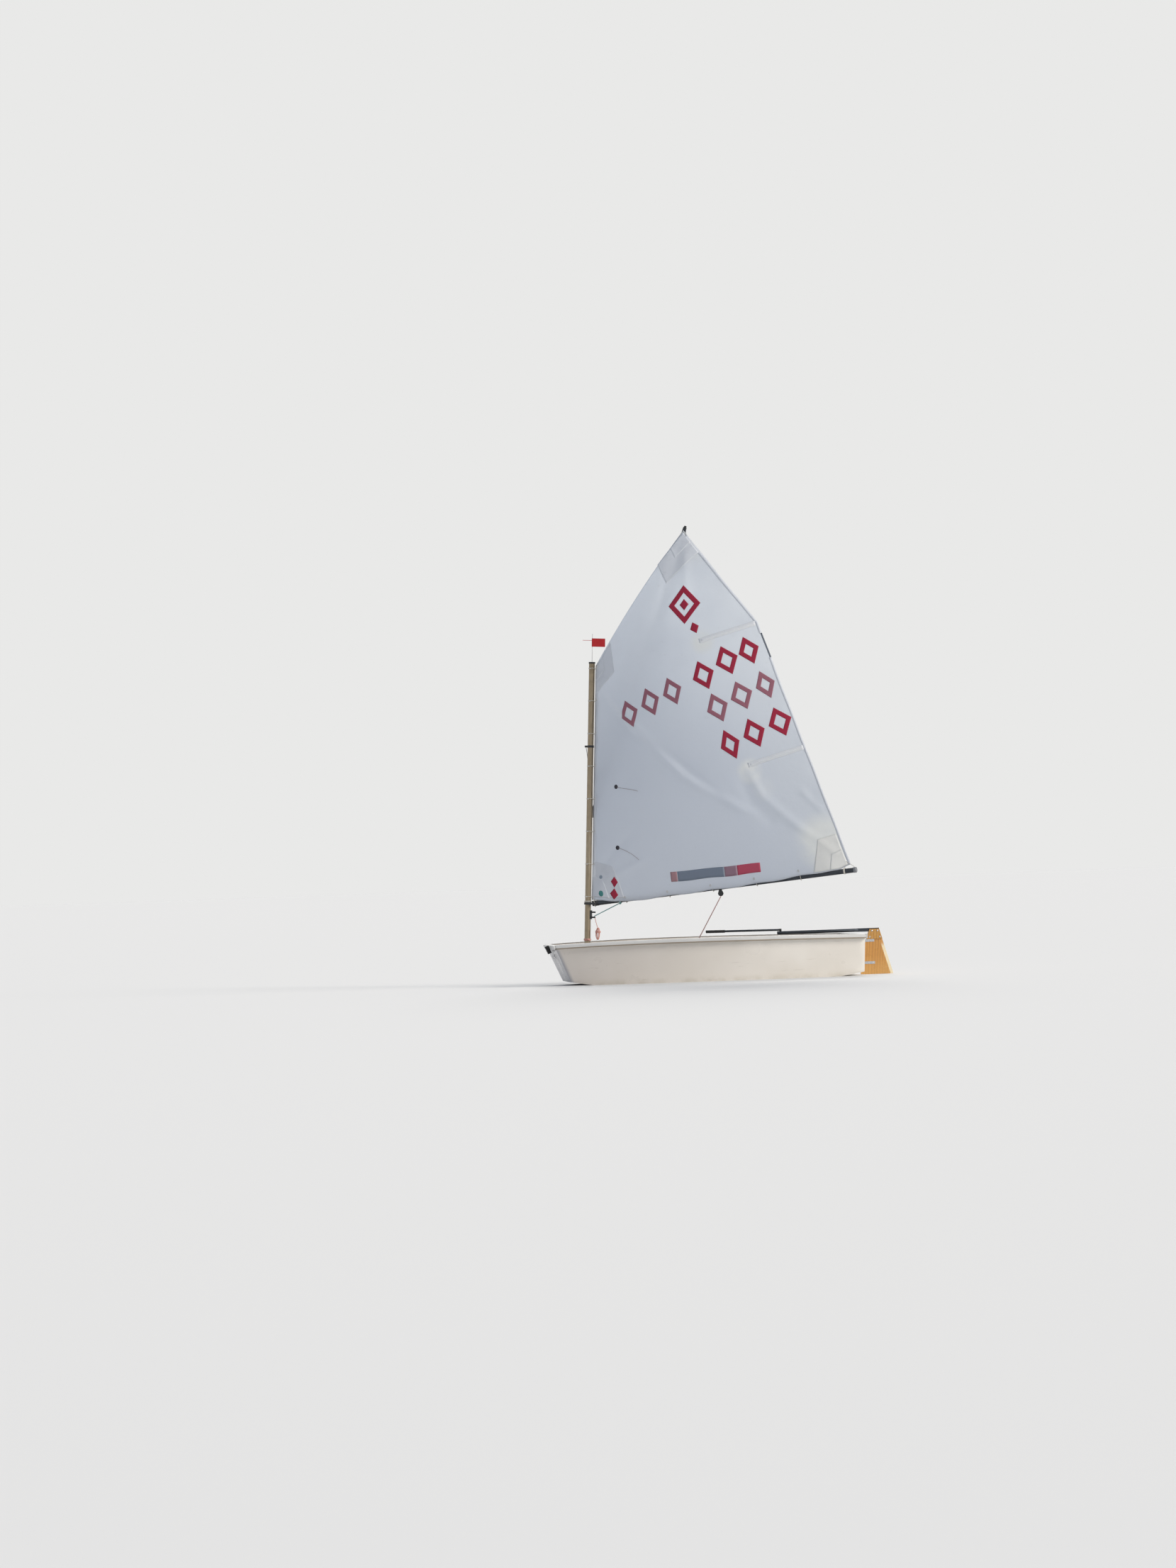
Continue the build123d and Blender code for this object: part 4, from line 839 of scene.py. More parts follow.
def sail_spot(across, up):
    """A point of the sail's middle surface in the rig's frame: cambered, creased, scalloped and fluttering."""
    leech_reach, leech_height = leech_at(up)
    twist = radians(through_rows(SAIL_ROWS, up, 3))
    luff = Vector((-LUFF_OFFSET, 0, TACK_HEIGHT + up * LUFF_LENGTH))
    leech = Vector((-leech_reach * cos(twist), leech_reach * sin(twist), leech_height))
    chord = leech - luff
    away = chord.cross(UP).normalized()
    belly = 4 * across * (1 - across)
    point = luff + chord * across + away * (through_rows(SAIL_ROWS, up, 4) * chord.length * belly)
    edge = ease(across, 0.0, 0.04) * ease(1 - across, 0.0, 0.03)
    wrinkle = crease_depth(mix(LUFF_OFFSET, leech_reach, across), point.z) * (0.3 + 0.7 * edge)
    near_luff = exp(-(across * chord.length / 0.09) ** 2)
    scallop = sin(2 * pi * (up * LUFF_LENGTH - LUFF_TIE_INSET) / LUFF_TIE_STEP)
    wrinkle += LUFF_SCALLOP * near_luff * scallop * ease(across, 0.0, 0.01)
    near_leech = exp(-((1 - across) * chord.length / 0.05) ** 2)
    flutter = sin(2 * pi * up * FLUTTER_WAVES) * ease(up, 0.0, 0.05) * ease(1 - up, 0.0, 0.05)
    wrinkle += FLUTTER * near_leech * flutter
    near_foot = exp(-(up / 0.055) ** 2)
    fall, out = foot_fall(across)
    point += away * (wrinkle + out * near_foot)
    point.z -= fall * near_foot
    return point


def sail_normal(across, up):
    step = 0.002
    run = sail_spot(across + step, up) - sail_spot(across - step, up)
    rise = sail_spot(across, up + step) - sail_spot(across, up - step)
    return run.cross(rise).normalized()


def sail_slab(rows, wraps, low, high):
    """A slab over rows of (across, up) spots, between two distances to port of the cloth's middle."""
    rings = []
    for row in rows:
        points = [(sail_spot(*spot), sail_normal(*spot)) for spot in row]
        rings.append([point + normal * low for point, normal in points]
                     + [point + normal * high for point, normal in reversed(points)])
    return lofted(rings, wraps, ladder=True)


def make_sail():
    rows = [[(j / SAIL_COLUMNS, i / SAIL_LINES) for j in range(SAIL_COLUMNS + 1)] for i in range(SAIL_LINES + 1)]
    slab = sail_slab(rows, False, -CLOTH_HALF, CLOTH_HALF)
    cloth = mesh_piece("sail_cloth", [slab], SAIL_CLOTH, "rig", RIG_FRAME)
    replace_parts(cloth, "sail")
    return cloth


# Grids on the cloth: each is rows of (reach, height) spots, and whether the rows close in a ring

def patch(corners, spacing=0.012):
    """A four-sided patch."""
    a, b, c, d = (Vector(corner) for corner in corners)
    columns = max(1, round(max((b - a).length, (c - d).length) / spacing))
    rows = max(1, round(max((d - a).length, (c - b).length) / spacing))
    return [[a.lerp(b, j / columns).lerp(d.lerp(c, j / columns), i / rows) for j in range(columns + 1)]
            for i in range(rows + 1)], False


def strip(start, end, width):
    start, end = Vector(start), Vector(end)
    way = (end - start).normalized()
    over = Vector((-way.y, way.x)) * (width / 2)
    return patch((start - over, end - over, end + over, start + over))


def edge_tape(start, end, wide_from, wide_to, steps):
    """A tape between two shares up the sail, so far in from the luff or, where negative, from the leech."""
    rows = []
    for up in (mix(start, end, index / steps) for index in range(steps + 1)):
        leech_reach, leech_height = leech_at(up)
        row = []
        for inset in (wide_from, (wide_from + wide_to) / 2, wide_to):
            reach = (LUFF_OFFSET if inset >= 0 else leech_reach) + inset
            share = (reach - LUFF_OFFSET) / (leech_reach - LUFF_OFFSET)
            row.append((reach, mix(TACK_HEIGHT + up * LUFF_LENGTH, leech_height, share)))
        rows.append(row)
    return rows, False


def diamond(reach, height, wide, tall, lean=0.0):
    """Corners of a diamond, turned by lean so that its top goes towards the luff."""
    return [Vector((reach + x * cos(lean) - y * sin(lean), height + x * sin(lean) + y * cos(lean)))
            for x, y in ((0, -tall / 2), (wide / 2, 0), (0, tall / 2), (-wide / 2, 0))]


def hollow_diamond(reach, height, wide, tall, stroke, lean=MARK_LEAN, steps=20, columns=5):
    """A diamond's outline."""
    shrink = 1 - 2 * stroke * sqrt(1 / wide ** 2 + 1 / tall ** 2)
    rings = [diamond(reach, height, wide * share, tall * share, lean) for share in (1, shrink)]
    rows = []
    for k in range(4):
        for step in range(steps):
            out, into = (ring[k].lerp(ring[(k + 1) % 4], step / steps) for ring in rings)
            rows.append([out.lerp(into, column / columns) for column in range(columns + 1)])
    return rows, True


def disc(reach, height, radius):
    """A round patch: a square grid drawn out to a circle."""
    steps = [k / 3 - 1 for k in range(7)]
    return [[(reach + radius * x * sqrt(1 - y * y / 2), height + radius * y * sqrt(1 - x * x / 2)) for x in steps]
            for y in steps], False


def make_sail_details():
    """Tapes, corner patches, batten pockets, plain geometric marks and woollen telltales, with painted shade where
    each side's marks show through the cloth to the other.
    """
    bright = [hollow_diamond(*place, 0.032) for place in BRIGHT_DIAMONDS]
    bright += [hollow_diamond(0.800, 2.490, 0.250, 0.290, 0.036, 0.1),
               patch(diamond(0.800, 2.490, 0.070, 0.084, 0.1)), patch(diamond(0.893, 2.318, 0.070, 0.090, 0.45))]
    starboard_marks = [hollow_diamond(*place, 0.030) for place in STARBOARD_DIAMONDS]
    small = [patch(diamond(0.216, 0.455, 0.056, 0.066)), patch(diamond(0.216, 0.385, 0.066, 0.066))]
    printed = [strip(FOOT_STRIP[0].lerp(FOOT_STRIP[1], a), FOOT_STRIP[0].lerp(FOOT_STRIP[1], b), 0.053)
               for a, b in ((0.0, 0.075), (0.08, 0.60), (0.605, 0.74), (0.745, 1.0))]
    rods = [strip(Vector(near).lerp(Vector(far), 0.04), far, 0.014) for near, far in BATTENS]
    both, port, starboard = (1, -1), (1,), (-1,)
    pieces = []
    for name, grids, tape, (low, high), sides in (
        ("luff_tape", [edge_tape(0.0, 1.0, 0.0, 0.028, 150)], "sail_tape", TAPED, both),
        ("leech_tape", [edge_tape(0.0, 0.60, -0.016, -0.0002, 120)], "sail_tape", TAPED, both),
        ("leech_edge", [edge_tape(0.60, 0.67, -0.010, -0.0002, 12)], "dark_tape", TAPED, both),
        ("head_tape", [edge_tape(0.67, 0.985, -0.016, -0.0002, 80)], "sail_tape", TAPED, both),
        ("corner_patches", [patch(corners) for corners in CORNER_PATCHES], "sail_tape", SEWN, both),
        ("cream_patches", [patch(CLEW_PATCH)], "cream_tape", SEWN, both),
        ("corner_facings", [patch(corners) for corners in CORNER_FACINGS], "sail_tape", FACED, both),
        ("cream_facings", [patch(CLEW_FACING)], "cream_tape", FACED, both),
        ("batten_pockets", [strip(near, far, 0.034) for near, far in BATTENS], "pocket_tape", POCKETED, both),
        ("batten_ridges", rods, "pocket_tape", (0.0008, 0.0018), both),
        ("tack_marks", small, "red_mark", (0.0014, 0.0018), both),
        ("marks_port", bright, "red_mark", MARKED, port),
        # painted shade: the starboard marks as they show through the cloth to port
        ("marks_port_show_through", starboard_marks, "painted_show_through_mark", MARKED, port),
        ("marks_starboard", starboard_marks, "red_mark", MARKED, starboard),
        # painted shade: the port marks as they show through the cloth to starboard
        ("marks_starboard_show_through", bright, "painted_show_through_mark", MARKED, starboard),
        ("foot_strip_tip", printed[:1], "pale_pink_strip", SEWN, both),
        ("foot_strip", printed[1:2], "blue_strip", SEWN, both),
        ("foot_strip_joint", printed[2:3], "mauve_strip", SEWN, both),
        ("foot_strip_end", printed[3:], "pink_strip", SEWN, both),
        ("blue_disc", [disc(0.104, 0.481, 0.013)], "blue_disc", STUCK, both),
        ("teal_disc", [disc(0.110, 0.370, 0.019)], "teal_disc", STUCK, both),
        ("telltale_dots", [disc(*line[0], 0.016) for line in YARN_LINES], "navy_disc", (0.0003, 0.0010), both),
    ):
        slabs = [sail_slab([[spot_at(*spot) for spot in row] for row in rows], wraps, side * low, side * high)
                 for side in sides for rows, wraps in grids]
        pieces.append(mesh_piece(name, slabs, TAPES[tape], "rig", RIG_FRAME))
    yarns = []
    for line in YARN_LINES:
        for side in both:
            path = []
            for index, spot in enumerate(spot_at(*spot) for spot in line):
                path.append(sail_spot(*spot) + sail_normal(*spot) * (side * (0.0018 + 0.002 * index / 3)))
            yarns.append(rope(path, 0.0022))
    return pieces + [mesh_piece("telltales", yarns, ROPES["yarn"], "rig", RIG_FRAME)]


# Cords

LUFF_TIES = 8
LUFF_TIE_INSET = 0.019
TIE_CORD = 0.0034
LINE = 0.004
PEAK_SPOT = (0.985, 0.985)
CLEW_SPOT = (0.988, 0.012)
TACK_SPOT = (0.006, 0.008)


def rig_cords(name, parts, line):
    return mesh_piece(name, parts, ROPES[line], "rig", RIG_FRAME)


def eyelet(across, up):
    """A steel ring through the cloth, as a torus each side."""
    centre, normal = sail_spot(across, up), sail_normal(across, up)
    return [tube(ring_points(centre + normal * lift, 0.006, normal, 20), 0.0022, 8, True)
            for lift in (0.0012, -0.0012)]


def make_ties():
    """Cords that hold the luff to the mast and the foot to the boom, with the eyelets that they go through."""
    rings, loops = [], []
    gap, knot_size, knot_cord = 0.0022, 0.013, 0.0032
    for index in range(LUFF_TIES):
        height = TACK_HEIGHT + LUFF_TIE_INSET + index * (LUFF_LENGTH - 2 * LUFF_TIE_INSET) / (LUFF_TIES - 1)
        up = (height - TACK_HEIGHT) / LUFF_LENGTH
        across = 0.012 / (leech_at(up)[0] - LUFF_OFFSET)
        rings += eyelet(across, up)
        size = MAST_RADIUS + gap
        path = [(size * cos(a), size * sin(a), height + 0.004 * sin(a)) for a in map(radians, range(-140, 141, 28))]
        path += [(-0.034, 0.0045, height), sail_spot(across, up), (-0.034, -0.0045, height)]
        loops += [rope(path, TIE_CORD, True), knot((0.004, MAST_RADIUS + 0.005, height), knot_size, knot_cord, UP)]
    over = Vector((sin(BOOM_SLOPE), 0, cos(BOOM_SLOPE)))
    for reach in FOOT_TIE_SPOTS:
        eye_spot = ((reach - LUFF_OFFSET) / FOOT_REACH, 0.014)
        rings += eyelet(*eye_spot)
        eye, centre = sail_spot(*eye_spot), boom_spot(reach)
        lean = atan2(eye.y, (eye - centre).dot(over))
        *path, low = (centre + (over * cos(lean + a) + PORT * sin(lean + a)) * (BOOM_RADIUS + gap)
                      for a in (*map(radians, range(50, 311, 26)), 2.2))
        loops += [rope([eye, *path], TIE_CORD, True), knot(low + PORT * 0.003, knot_size, knot_cord, AHEAD)]
    mesh_piece("sail_eyelets", rings, STEEL, "rig", RIG_FRAME)
    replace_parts(rig_cords("sail_tie_cords", loops, "pale_rope"), "sail_ties")


def make_snotter_and_peak_lines():
    """The snotter, from the eye on the mast round the sprit's heel, and the head's loop over the sprit's peg."""
    heel_y = -(MAST_RADIUS + SPRIT_RADIUS + 0.0009)
    peak_reach, peak_height, peak_twist = SAIL_ROWS[-1][1:4]
    twist = radians(peak_twist)
    peak = Vector((-peak_reach * cos(twist), peak_reach * sin(twist) - 0.01775, peak_height))
    rise = sqrt((SPRIT_LENGTH - 0.034) ** 2 - peak.x ** 2 - (peak.y - heel_y) ** 2)
    heel = Vector((0, heel_y, peak.z - rise))
    way = (peak - heel).normalized()
    seat = heel + way * 0.030
    tip = heel + way * (SPRIT_LENGTH - 0.008)
    head = sail_spot(*PEAK_SPOT)
    loop = [head, head.lerp(tip, 0.6) + Vector((-0.006, 0.004, 0.008)), tip + Vector((-0.010, 0.004, 0)),
            tip - PORT * 0.011, tip + Vector((0.011, 0, -0.002)),
            head.lerp(tip, 0.5) + Vector((0.008, -0.002, -0.004))]
    rig_cords("snotter_and_peak_lines", [
        rope(ring_points(seat, 0.0162, way, 14), LINE, True),
        rope([(MAST_RADIUS + 0.016, -0.004, SNOTTER_EYE), (0.030, -0.030, 1.33),
              seat + Vector((0.0165, -0.002, 0))], LINE),
        rope(loop, LINE, True)], "dark_rope")


def make_rigging():
    """Taut lines of the rig, in its own frame."""
    make_snotter_and_peak_lines()
    # vang: two parts from the cleat up to a strop on the boom
    strop = boom_spot(0.255)
    low = Vector((-0.052, 0, 0.186))
    under = strop - UP * (BOOM_RADIUS + 0.005)
    rig_cords("vang_line", hoops(strop, BOOM_WAY, BOOM_RADIUS + 0.0024, 0.0045, 0.0045, 18) + [
        rope([low + PORT * 0.004, under + PORT * 0.004], 0.005, straight=True),
        rope([low + Vector((0, -0.004, 0.004)), under + Vector((0.008, -0.004, 0))], 0.005, straight=True),
        knot(under, 0.02, 0.005, (1, 0, 1))], "teal_rope")
    # clew: three turns round the boom, and the outhaul to its end
    clew = sail_spot(*CLEW_SPOT)
    clew_reach = 1.985
    end = boom_spot((BOOM_LENGTH + 0.004) * cos(BOOM_SLOPE) + LUFF_OFFSET)
    tie_gap = LINE / cos(BOOM_SLOPE)
    rig_cords("clew_lines", hoops(boom_spot(clew_reach), BOOM_WAY, BOOM_RADIUS + 0.0024, LINE, tie_gap, 18) + [
        rope([clew, boom_spot(clew_reach, BOOM_RADIUS + 0.003)], 0.005),
        rope([clew, clew.lerp(end + UP * 0.024, 0.5), end + UP * 0.0235], LINE)], "pale_rope")
    # tack: a lashing round the mast and the boom's jaws
    lashing = [sail_spot(*TACK_SPOT), (-0.058, 0.0215, 0.285), (-0.058, 0, 0.258), (-0.058, -0.0215, 0.285)]
    turns_at = 0.297
    rig_cords("tack_lashing", [
        rope(lashing, LINE, True), *hoops(UP * turns_at, UP, MAST_RADIUS + 0.0022, LINE, 0.0038, 20),
        knot((0.012, MAST_RADIUS + 0.002, turns_at), 0.018, LINE, UP)], "pale_rope")


def make_mast_tie():
    """The line that ties the mast down at the thwart."""
    level, cord = 0.012, 0.005
    parts = hoops(MAST_FRAME @ (UP * level), MAST_WAY, MAST_RADIUS + 0.003, cord, 0.0052, 20)
    parts.append(knot(MAST_FRAME @ Vector((-0.004, MAST_RADIUS + 0.006, level)), 0.022, cord, UP))
    mesh_piece("mast_tie", parts, ROPES["pink_rope"], "rig")


def make_hank():
    """The vang's spare line, coiled tight and bound under its cleat."""
    centre, cord = Vector((-0.082, 0, 0.058)), 0.0055
    parts = []
    for index, (shift, wide) in enumerate(((-0.009, 0.010), (-0.003, 0.014), (0.003, 0.013), (0.009, 0.009))):
        coil = [(wide * cos(a) * (1.0 + 0.15 * sin(a + index)), shift, 0.043 * sin(a)) for a in turns(14)]
        parts.append(rope([centre + Vector(point) for point in coil], cord, True))
    for level in (0.008, 0.0135, 0.019):
        band = [(0.0185 * cos(a), 0.0155 * sin(a), level + 0.0012 * cos(a + level * 300)) for a in turns(14)]
        parts.append(rope([centre + Vector(point) for point in band], cord, True))
    parts.append(rope([centre + Vector((0.002, 0, 0.040)), (-0.068, 0, 0.135), (-0.056, 0, 0.176)], 0.005))
    rig_cords("vang_tail", parts, "pink_rope")


def make_mainsheet():
    """The taut sheet from the boom's block down to the ratchet block, over both sheaves."""
    top = BOOM_FRAME @ Vector((-BLOCK_REACH, 0, -(BOOM_RADIUS + 0.028)))
    low = Vector((0.055, 0.0, 0.288))
    way = (top - low).normalized()
    out = Vector((way.y, -way.x, 0)).normalized() * 0.0165
    line = rope([low - out + way * 0.004, top - out * 0.8], 0.008, straight=True)
    piece = mesh_piece("mainsheet", [line], ROPES["sheet_rope"])
    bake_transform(piece)


# Buoyancy bags. A size is a radius and a length; straps stand at shares of the length.

SIDE_BAG = (0.108, 1.040)
BOW_BAG = (0.054, 0.400)
SIDE_BAG_X = -0.505
SIDE_BAG_HEIGHT = 0.172
SIDE_BAG_GAP = 0.0013
BOW_BAG_GAP = 0.0028
BOW_RAKE = radians(23.7)
BOW_THICKNESS = 0.012
SIDE_STRAPS = (-0.41, 0.0, 0.41)
BOW_STRAPS = (-0.25, 0.25)
BAG_SIDES = 84
BAG_RINGS = 130


def side_bag_frame(side):
    """Where a side bag lies along its panel; the starboard one is the port one mirrored."""
    reach = SIDE_BAG[1] / 2 - 0.4 * SIDE_BAG[0]
    low_y, high_y = (side_breadth(SIDE_BAG_X + x, SIDE_BAG_HEIGHT) - SIDE_THICKNESS for x in (-reach, reach))
    sheer_y, sheer_z, chine_y, chine_z = hull_form(SIDE_BAG_X)
    offset = (SIDE_BAG[0] + SIDE_BAG_GAP) / cos(atan2(sheer_y - chine_y, sheer_z - chine_z))
    place = Matrix.Translation((SIDE_BAG_X, side * ((low_y + high_y) / 2 - offset), SIDE_BAG_HEIGHT))
    yaw = Matrix.Rotation(side * atan2(high_y - low_y, 2 * reach), 4, "Z")
    return place @ yaw @ Matrix.Diagonal((1, side, 1, 1))


def bow_bag_frame():
    """Athwart the bow, resting on the bottom and against the raked transom."""
    reach = BOW_BAG[0] + BOW_BAG_GAP
    sheer_z = hull_form(HULL_HALF_LENGTH)[1]
    x = HULL_HALF_LENGTH - 2 * reach
    for _ in range(12):
        slope = (floor_height(x + 0.001) - floor_height(x - 0.001)) / 0.002
        z = floor_height(x) + reach * sqrt(1 + slope * slope)
        x = HULL_HALF_LENGTH - (sheer_z - z) * tan(BOW_RAKE) - (BOW_THICKNESS + reach) / cos(BOW_RAKE)
    return Matrix.Translation((x, 0, z)) @ Matrix.Rotation(radians(90), 4, "Z")


def bag_radius(size, straps, x, angle):
    """An inflated bag's radius: full between its straps, drawn in at them, and pleated at its ends."""
    radius, length = size
    inset = (length / 2 - abs(x)) / radius
    full = 1 - 0.28 * (1 - min(inset / 0.42, 1.0)) ** 2.3
    pinch = sum(exp(-((x - share * length) / 0.035) ** 2) for share in straps)
    pleats = exp(-(inset / 0.34) ** 2) * (0.5 + 0.5 * cos(11 * angle + 1.3 * sin(3 * angle)))
    ripple = 0.5 + 0.5 * sin(5 * angle + 21 * x) * sin(2 * angle - 17 * x)
    seam = exp(-((angle - pi / 2) / 0.06) ** 2)
    return radius * (full - 0.016 * pinch - 0.045 * pleats - 0.008 * ripple - 0.004) + 0.0012 * seam


def around(x, angle, radius):
    return Vector((x, radius * cos(angle), radius * sin(angle)))


def bag(size, straps):
    """A bag's skin, with its ends gathered in."""
    half = size[1] / 2
    rings = []
    for i in range(BAG_RINGS + 1):
        x = mix(-half, half, i / BAG_RINGS)
        rings.append([around(x, a, bag_radius(size, straps, x, a)) for a in turns(BAG_SIDES)])
    tips = []
    for end in (-1, 1):
        gathered = []
        for share in (0.9, 0.72, 0.5, 0.28, 0.1):
            ring = []
            for a in turns(BAG_SIDES):
                dent = 0.006 * sin(9 * a) * share * (1 - share) * 3
                x = end * (half - 0.001 - 0.008 * (1 - share) - abs(dent))
                ring.append(around(x, a, bag_radius(size, straps, end * half, a) * share))
            gathered.append(ring)
        rings = gathered[::-1] + rings if end < 0 else rings + gathered
        tips.append(AHEAD * (end * (half - 0.009)))
    return lofted(rings, tips=tips)


def bag_piping(size, straps):
    """A cord round each end of a bag."""
    ends = (-(size[1] / 2 - 0.0035), size[1] / 2 - 0.0035)
    return [tube([around(x, a, bag_radius(size, straps, x, a) - 0.0006) for a in turns(64)], 0.0021, 8, True)
            for x in ends]


def bag_valve(size, straps, angle):
    """The filler valve near one end of a bag."""
    x = 0.30 * size[1]
    base = around(x, angle, bag_radius(size, straps, x, angle) - 0.002)
    scale = mix(1.0, size[0] / SIDE_BAG[0], 0.7)
    levels, radii = zip((0.0, 0.021), (0.0028, 0.0205), (0.0034, 0.014), (0.006, 0.0135), (0.0065, 0.0105),
                        (0.0095, 0.010), (0.0105, 0.0075))
    return tube([base + around(0, angle, level * scale) for level in levels], [r * scale for r in radii], 24)


def bag_strap(size, straps, share, arc):
    x = share * size[1]
    path = []
    for k in range(61):
        angle = radians(mix(*arc, k / 60))
        path.append(around(x, angle, bag_radius(size, straps, x, angle % (2 * pi)) + 0.0016))
    return strap(path, AHEAD, 0.045, 0.0022)


def bag_buckle(size, straps, share):
    """A buckle's three bars across the strap and its two ends."""
    angle, thick = radians(112), 0.005
    x = share * size[1]
    radius = bag_radius(size, straps, x, angle) + 0.0046
    bars = [(0, shift, (0.056, deep, thick)) for shift, deep in ((0.0, 0.006), (-0.017, 0.005), (0.016, 0.005))]
    bars += [(end, 0, (thick, 0.038, thick)) for end in (-0.027, 0.027)]
    turn = Matrix.Rotation(angle - pi / 2, 4, "X")
    return [block(bar, turn @ Matrix.Translation((x + over, shift, radius))) for over, shift, bar in bars]


def make_bags():
    for name, place, size, straps, valve_angle, arc in (
        ("side_bag_port", side_bag_frame(1), SIDE_BAG, SIDE_STRAPS, 118, (5.0, 325.0)),
        ("side_bag_starboard", side_bag_frame(-1), SIDE_BAG, SIDE_STRAPS, 118, (5.0, 325.0)),
        ("bow_bag", bow_bag_frame(), BOW_BAG, BOW_STRAPS, 120, (-20.0, 225.0)),
    ):
        skin = mesh_piece(name, [bag(size, straps)], BAG_FABRIC, "hull", place)
        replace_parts(skin, "buoyancy_bags")
        mesh_piece(name + "_piping", bag_piping(size, straps), PALE_PLASTIC, "hull", place)
        valve = bag_valve(size, straps, radians(valve_angle))
        mesh_piece(name + "_valve", [valve], BLACK_PLASTIC, "hull", place)
        bands = [bag_strap(size, straps, share, arc) for share in straps]
        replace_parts(mesh_piece(name + "_straps", bands, BAG_WEBBING, "hull", place), "bag_straps")
        if size is SIDE_BAG:
            buckles = [part for share in straps for part in bag_buckle(size, straps, share)]
            mesh_piece(name + "_buckles", buckles, BLACK_PLASTIC, "hull", place)


# Small fittings

def make_hiking_straps():
    """Two bands of webbing from bar to bar, each with a padded middle."""
    fore, aft = (Vector((x, 0, floor_height(x) + height)) for x, height in ((0.072, 0.0355), (-1.138, 0.1215)))
    bands, pads = [], []
    for side in (-1, 1):
        path = []
        for k in range(81):
            share = k / 80
            path.append(fore.lerp(aft, share) + Vector((0, side * 0.062, -0.006 * 4 * share * (1 - share))))
        bands.append(strap(path, PORT, 0.048, 0.003))
        pads.append(strap([point + UP * 0.0022 for point in path[26:66]], PORT, 0.044, 0.0035))
    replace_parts(mesh_piece("hiking_strap_bands", bands, WEBBING, "hull"), "hiking_straps")
    mesh_piece("hiking_strap_pads", pads, RUBBER, "hull")


def make_screws():
    on_transom = [screw((-1.1524, y, height), 0.0042, 0.0022, -AHEAD)
                  for height in (0.066, 0.232) for y in (-0.026, 0.026)]
    on_blade = [screw((x, side * 0.0095, height), 0.004, 0.002, PORT * side)
                for height, xs in ((0.0859, (-1.215, -1.250, -1.285)), (0.2519, (-1.252, -1.270, -1.288)))
                for side in (-1, 1) for x in xs]
    cheek_bolts = [screw((x, side * 0.015, z), 0.0065, 0.003, PORT * side) for side in (-1, 1)
                   for x, z in ((-1.283, 0.324), (-1.326, 0.324), (-1.264, 0.278), (-1.342, 0.278))]
    thwart_screws = [screw((x, y, 0.288), 0.0045, 0.002, UP)
                     for x in (0.815, 0.915) for y in (-0.30, -0.18, 0.18, 0.30)]
    for name, parts, body in (
        ("rudder_screws_hull", on_transom, "hull"), ("rudder_screws_blade", on_blade, "rudder"),
        ("cheek_bolts", cheek_bolts, "rudder"), ("thwart_screws", thwart_screws, "hull"),
    ):
        mesh_piece(name, parts, STEEL, body)


def make_strake_beads():
    """A dark bead in the corner between each side and its gunwale, coloured as painted shade for the shadow line
    under the gunwale.
    """
    beads = []
    for side in (-1, 1):
        path = []
        for k in range(93):
            x = mix(-HULL_HALF_LENGTH + 0.004, HULL_HALF_LENGTH - 0.004, k / 92)
            sheer_y, sheer_z = hull_form(x)[:2]
            path.append(Vector((x, side * (sheer_y + 0.0292), sheer_z - 0.0284)))
        beads.append(tube(path, 0.0046, 10))
    mesh_piece("strake_beads", beads, SHADOW_BEAD, "hull")


# Stage

CAMERA_PLACE = (4.945, 33.153, 0.786)
CAMERA_YAW = radians(-7.091)
CAMERA_PITCH = radians(1.207)
CAMERA_ROLL = radians(1.933)
LENS_PIXELS = 6330
PHOTO_HEIGHT = 2212
SENSOR = 36.0
FLOOR_REACH = 400.0


def make_camera():
    """The photo's view, from the port side. Unturned, a camera looks straight down."""
    data = bpy.data.cameras.new("camera")
    data.sensor_width = SENSOR
    data.lens = LENS_PIXELS / PHOTO_HEIGHT * SENSOR
    data.clip_end = 1000
    camera = bpy.data.objects.new("camera", data)
    aim = Matrix.Rotation(pi + CAMERA_YAW, 4, "Z") @ Matrix.Rotation(pi / 2 + CAMERA_PITCH, 4, "X")
    camera.matrix_world = Matrix.Translation(CAMERA_PLACE) @ aim @ Matrix.Rotation(-CAMERA_ROLL, 4, "Z")
    scene.collection.objects.link(camera)
    scene.camera = camera


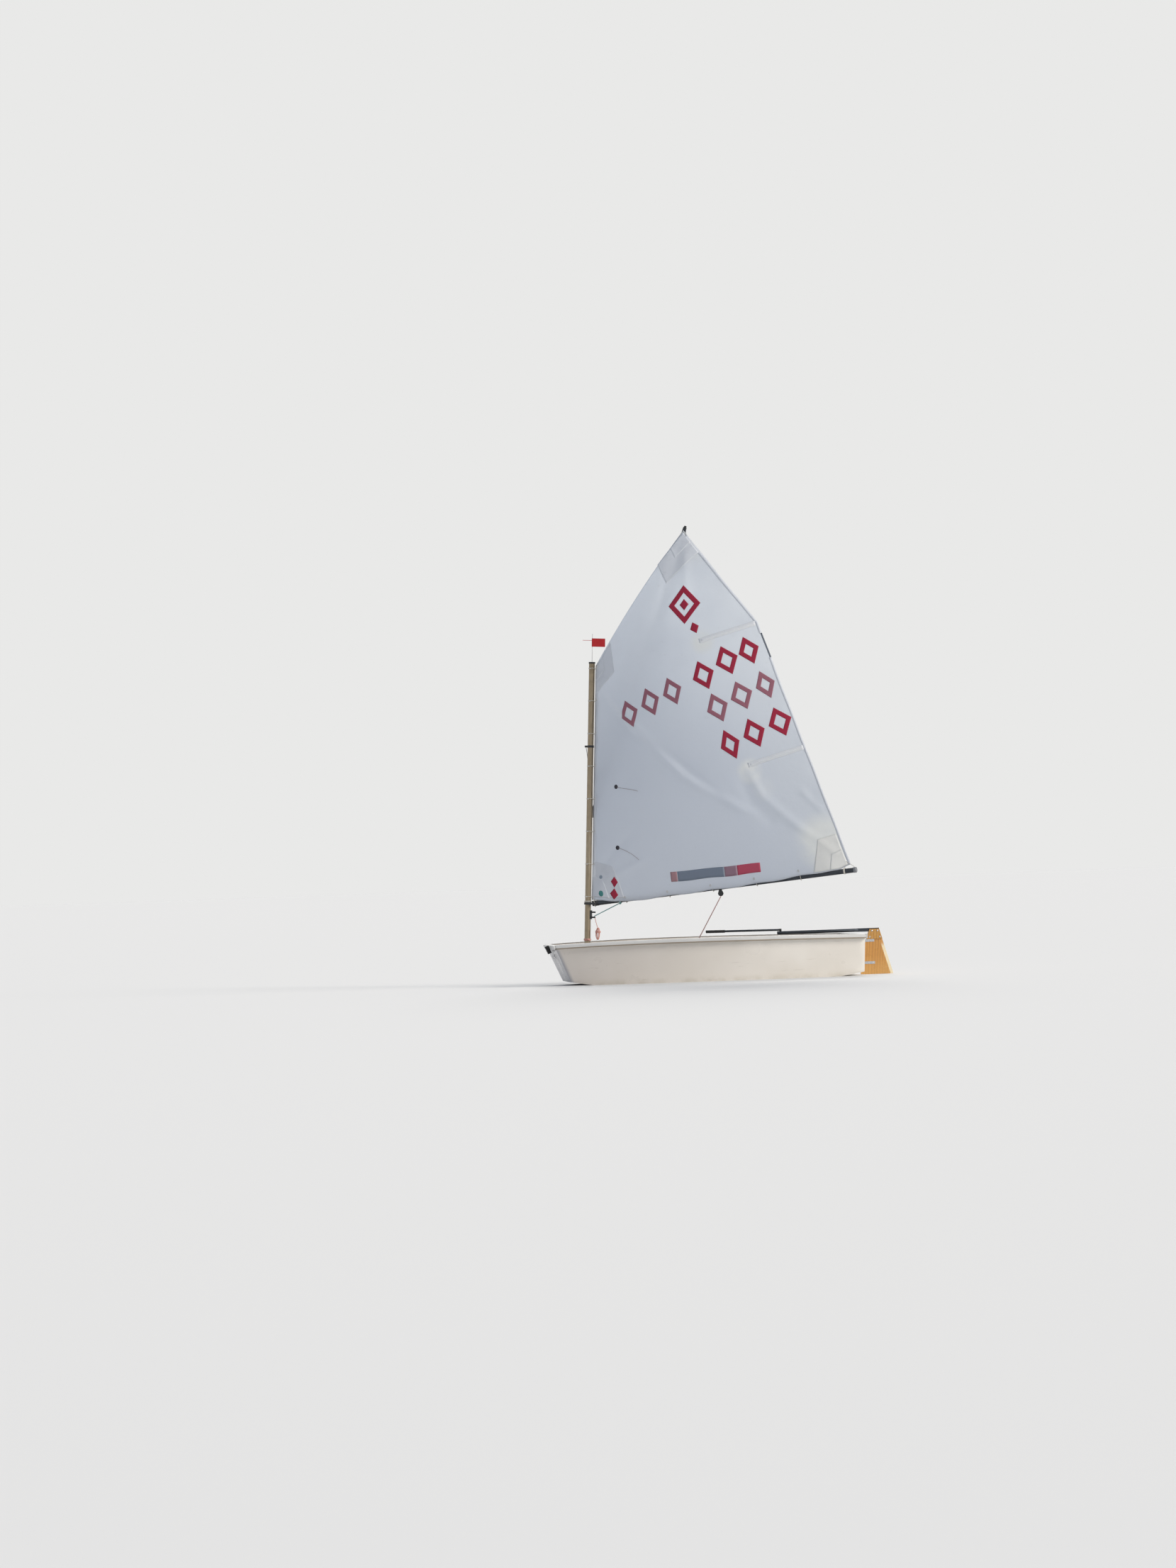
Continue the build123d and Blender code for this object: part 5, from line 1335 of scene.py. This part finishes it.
def make_floor():
    """A pale floor at the waterline, open inside the hull."""
    fore, aft = (crossing(lambda x: hull_form(x)[3] > 0, end, 0.0, 40)
                 for end in (HULL_HALF_LENGTH, -HULL_HALF_LENGTH))
    inner = [(x, side_breadth(x, 0.0)) for x in (mix(fore, aft, k / 40) for k in range(41))]
    inner += [(x, -y) for x, y in reversed(inner)]
    stretch = 1.6
    outer = []
    for x, y in inner:
        size = max(abs(x), abs(y) * stretch) / FLOOR_REACH
        outer.append((x / size, y * stretch / size))
    count = len(inner)
    faces = [(k, (k + 1) % count, count + (k + 1) % count, count + k) for k in range(count)]
    points = [(x, y, 0.0) for x, y in inner + outer]
    mesh_piece("floor", [(points, faces)], Finish("floor", (230, 230, 229), 0.9))


def make_world():
    """Light that is pale from astern and a dim blue from ahead. The camera and reflections see one plain colour."""
    world = bpy.data.worlds.new("world")
    scene.world = world
    n = Nodes(world)
    ahead = n.node("SeparateXYZ", Vector=n.node("TexCoord").outputs["Generated"]).outputs["X"]
    share = n.node("MapRange", Value=ahead, From_Min=-1.0).outputs[0]
    light = n.tree.nodes["Background"]
    light.inputs["Strength"].default_value = 0.68
    n.feed(light.inputs["Color"], n.blended(share, (1.0, 0.99, 0.98, 1), (0.24, 0.31, 0.44, 1)))
    seen = n.node("Background", Color=paint((233, 233, 232)))
    camera, glossy, transmission = (n.node("LightPath").outputs[f"Is {kind} Ray"]
                                    for kind in ("Camera", "Glossy", "Transmission"))
    plain = n.maths("MAXIMUM", n.maths("MAXIMUM", camera, glossy), transmission)
    n.feed(n.tree.nodes["World Output"].inputs["Surface"], n.both(plain, light, seen))


def make_sun(name, ahead, strength, spread, colour):
    """Even light from one side, soft at its shadows' edges."""
    data = bpy.data.lights.new(name, "SUN")
    data.energy = strength
    data.angle = radians(spread)
    data.color = colour
    lamp = bpy.data.objects.new(name, data)
    lamp.rotation_euler = Vector(ahead).to_track_quat("-Z", "Y").to_euler()
    scene.collection.objects.link(lamp)


scene.view_settings.view_transform = "Standard"
make_camera()
make_floor()
make_world()
make_sun("key", (0.72, -0.55, -0.42), 1.95, 24, (1.0, 0.95, 0.88))
make_sun("back", (0.10, 0.80, -0.60), 1.25, 40, (1.0, 0.97, 0.92))
finish_nodes()
cloth = make_sail()
details = make_sail_details()
make_ties()
make_rigging()
make_mainsheet()
make_bags()
make_hiking_straps()
make_screws()
make_strake_beads()
make_mast_tie()
make_hank()
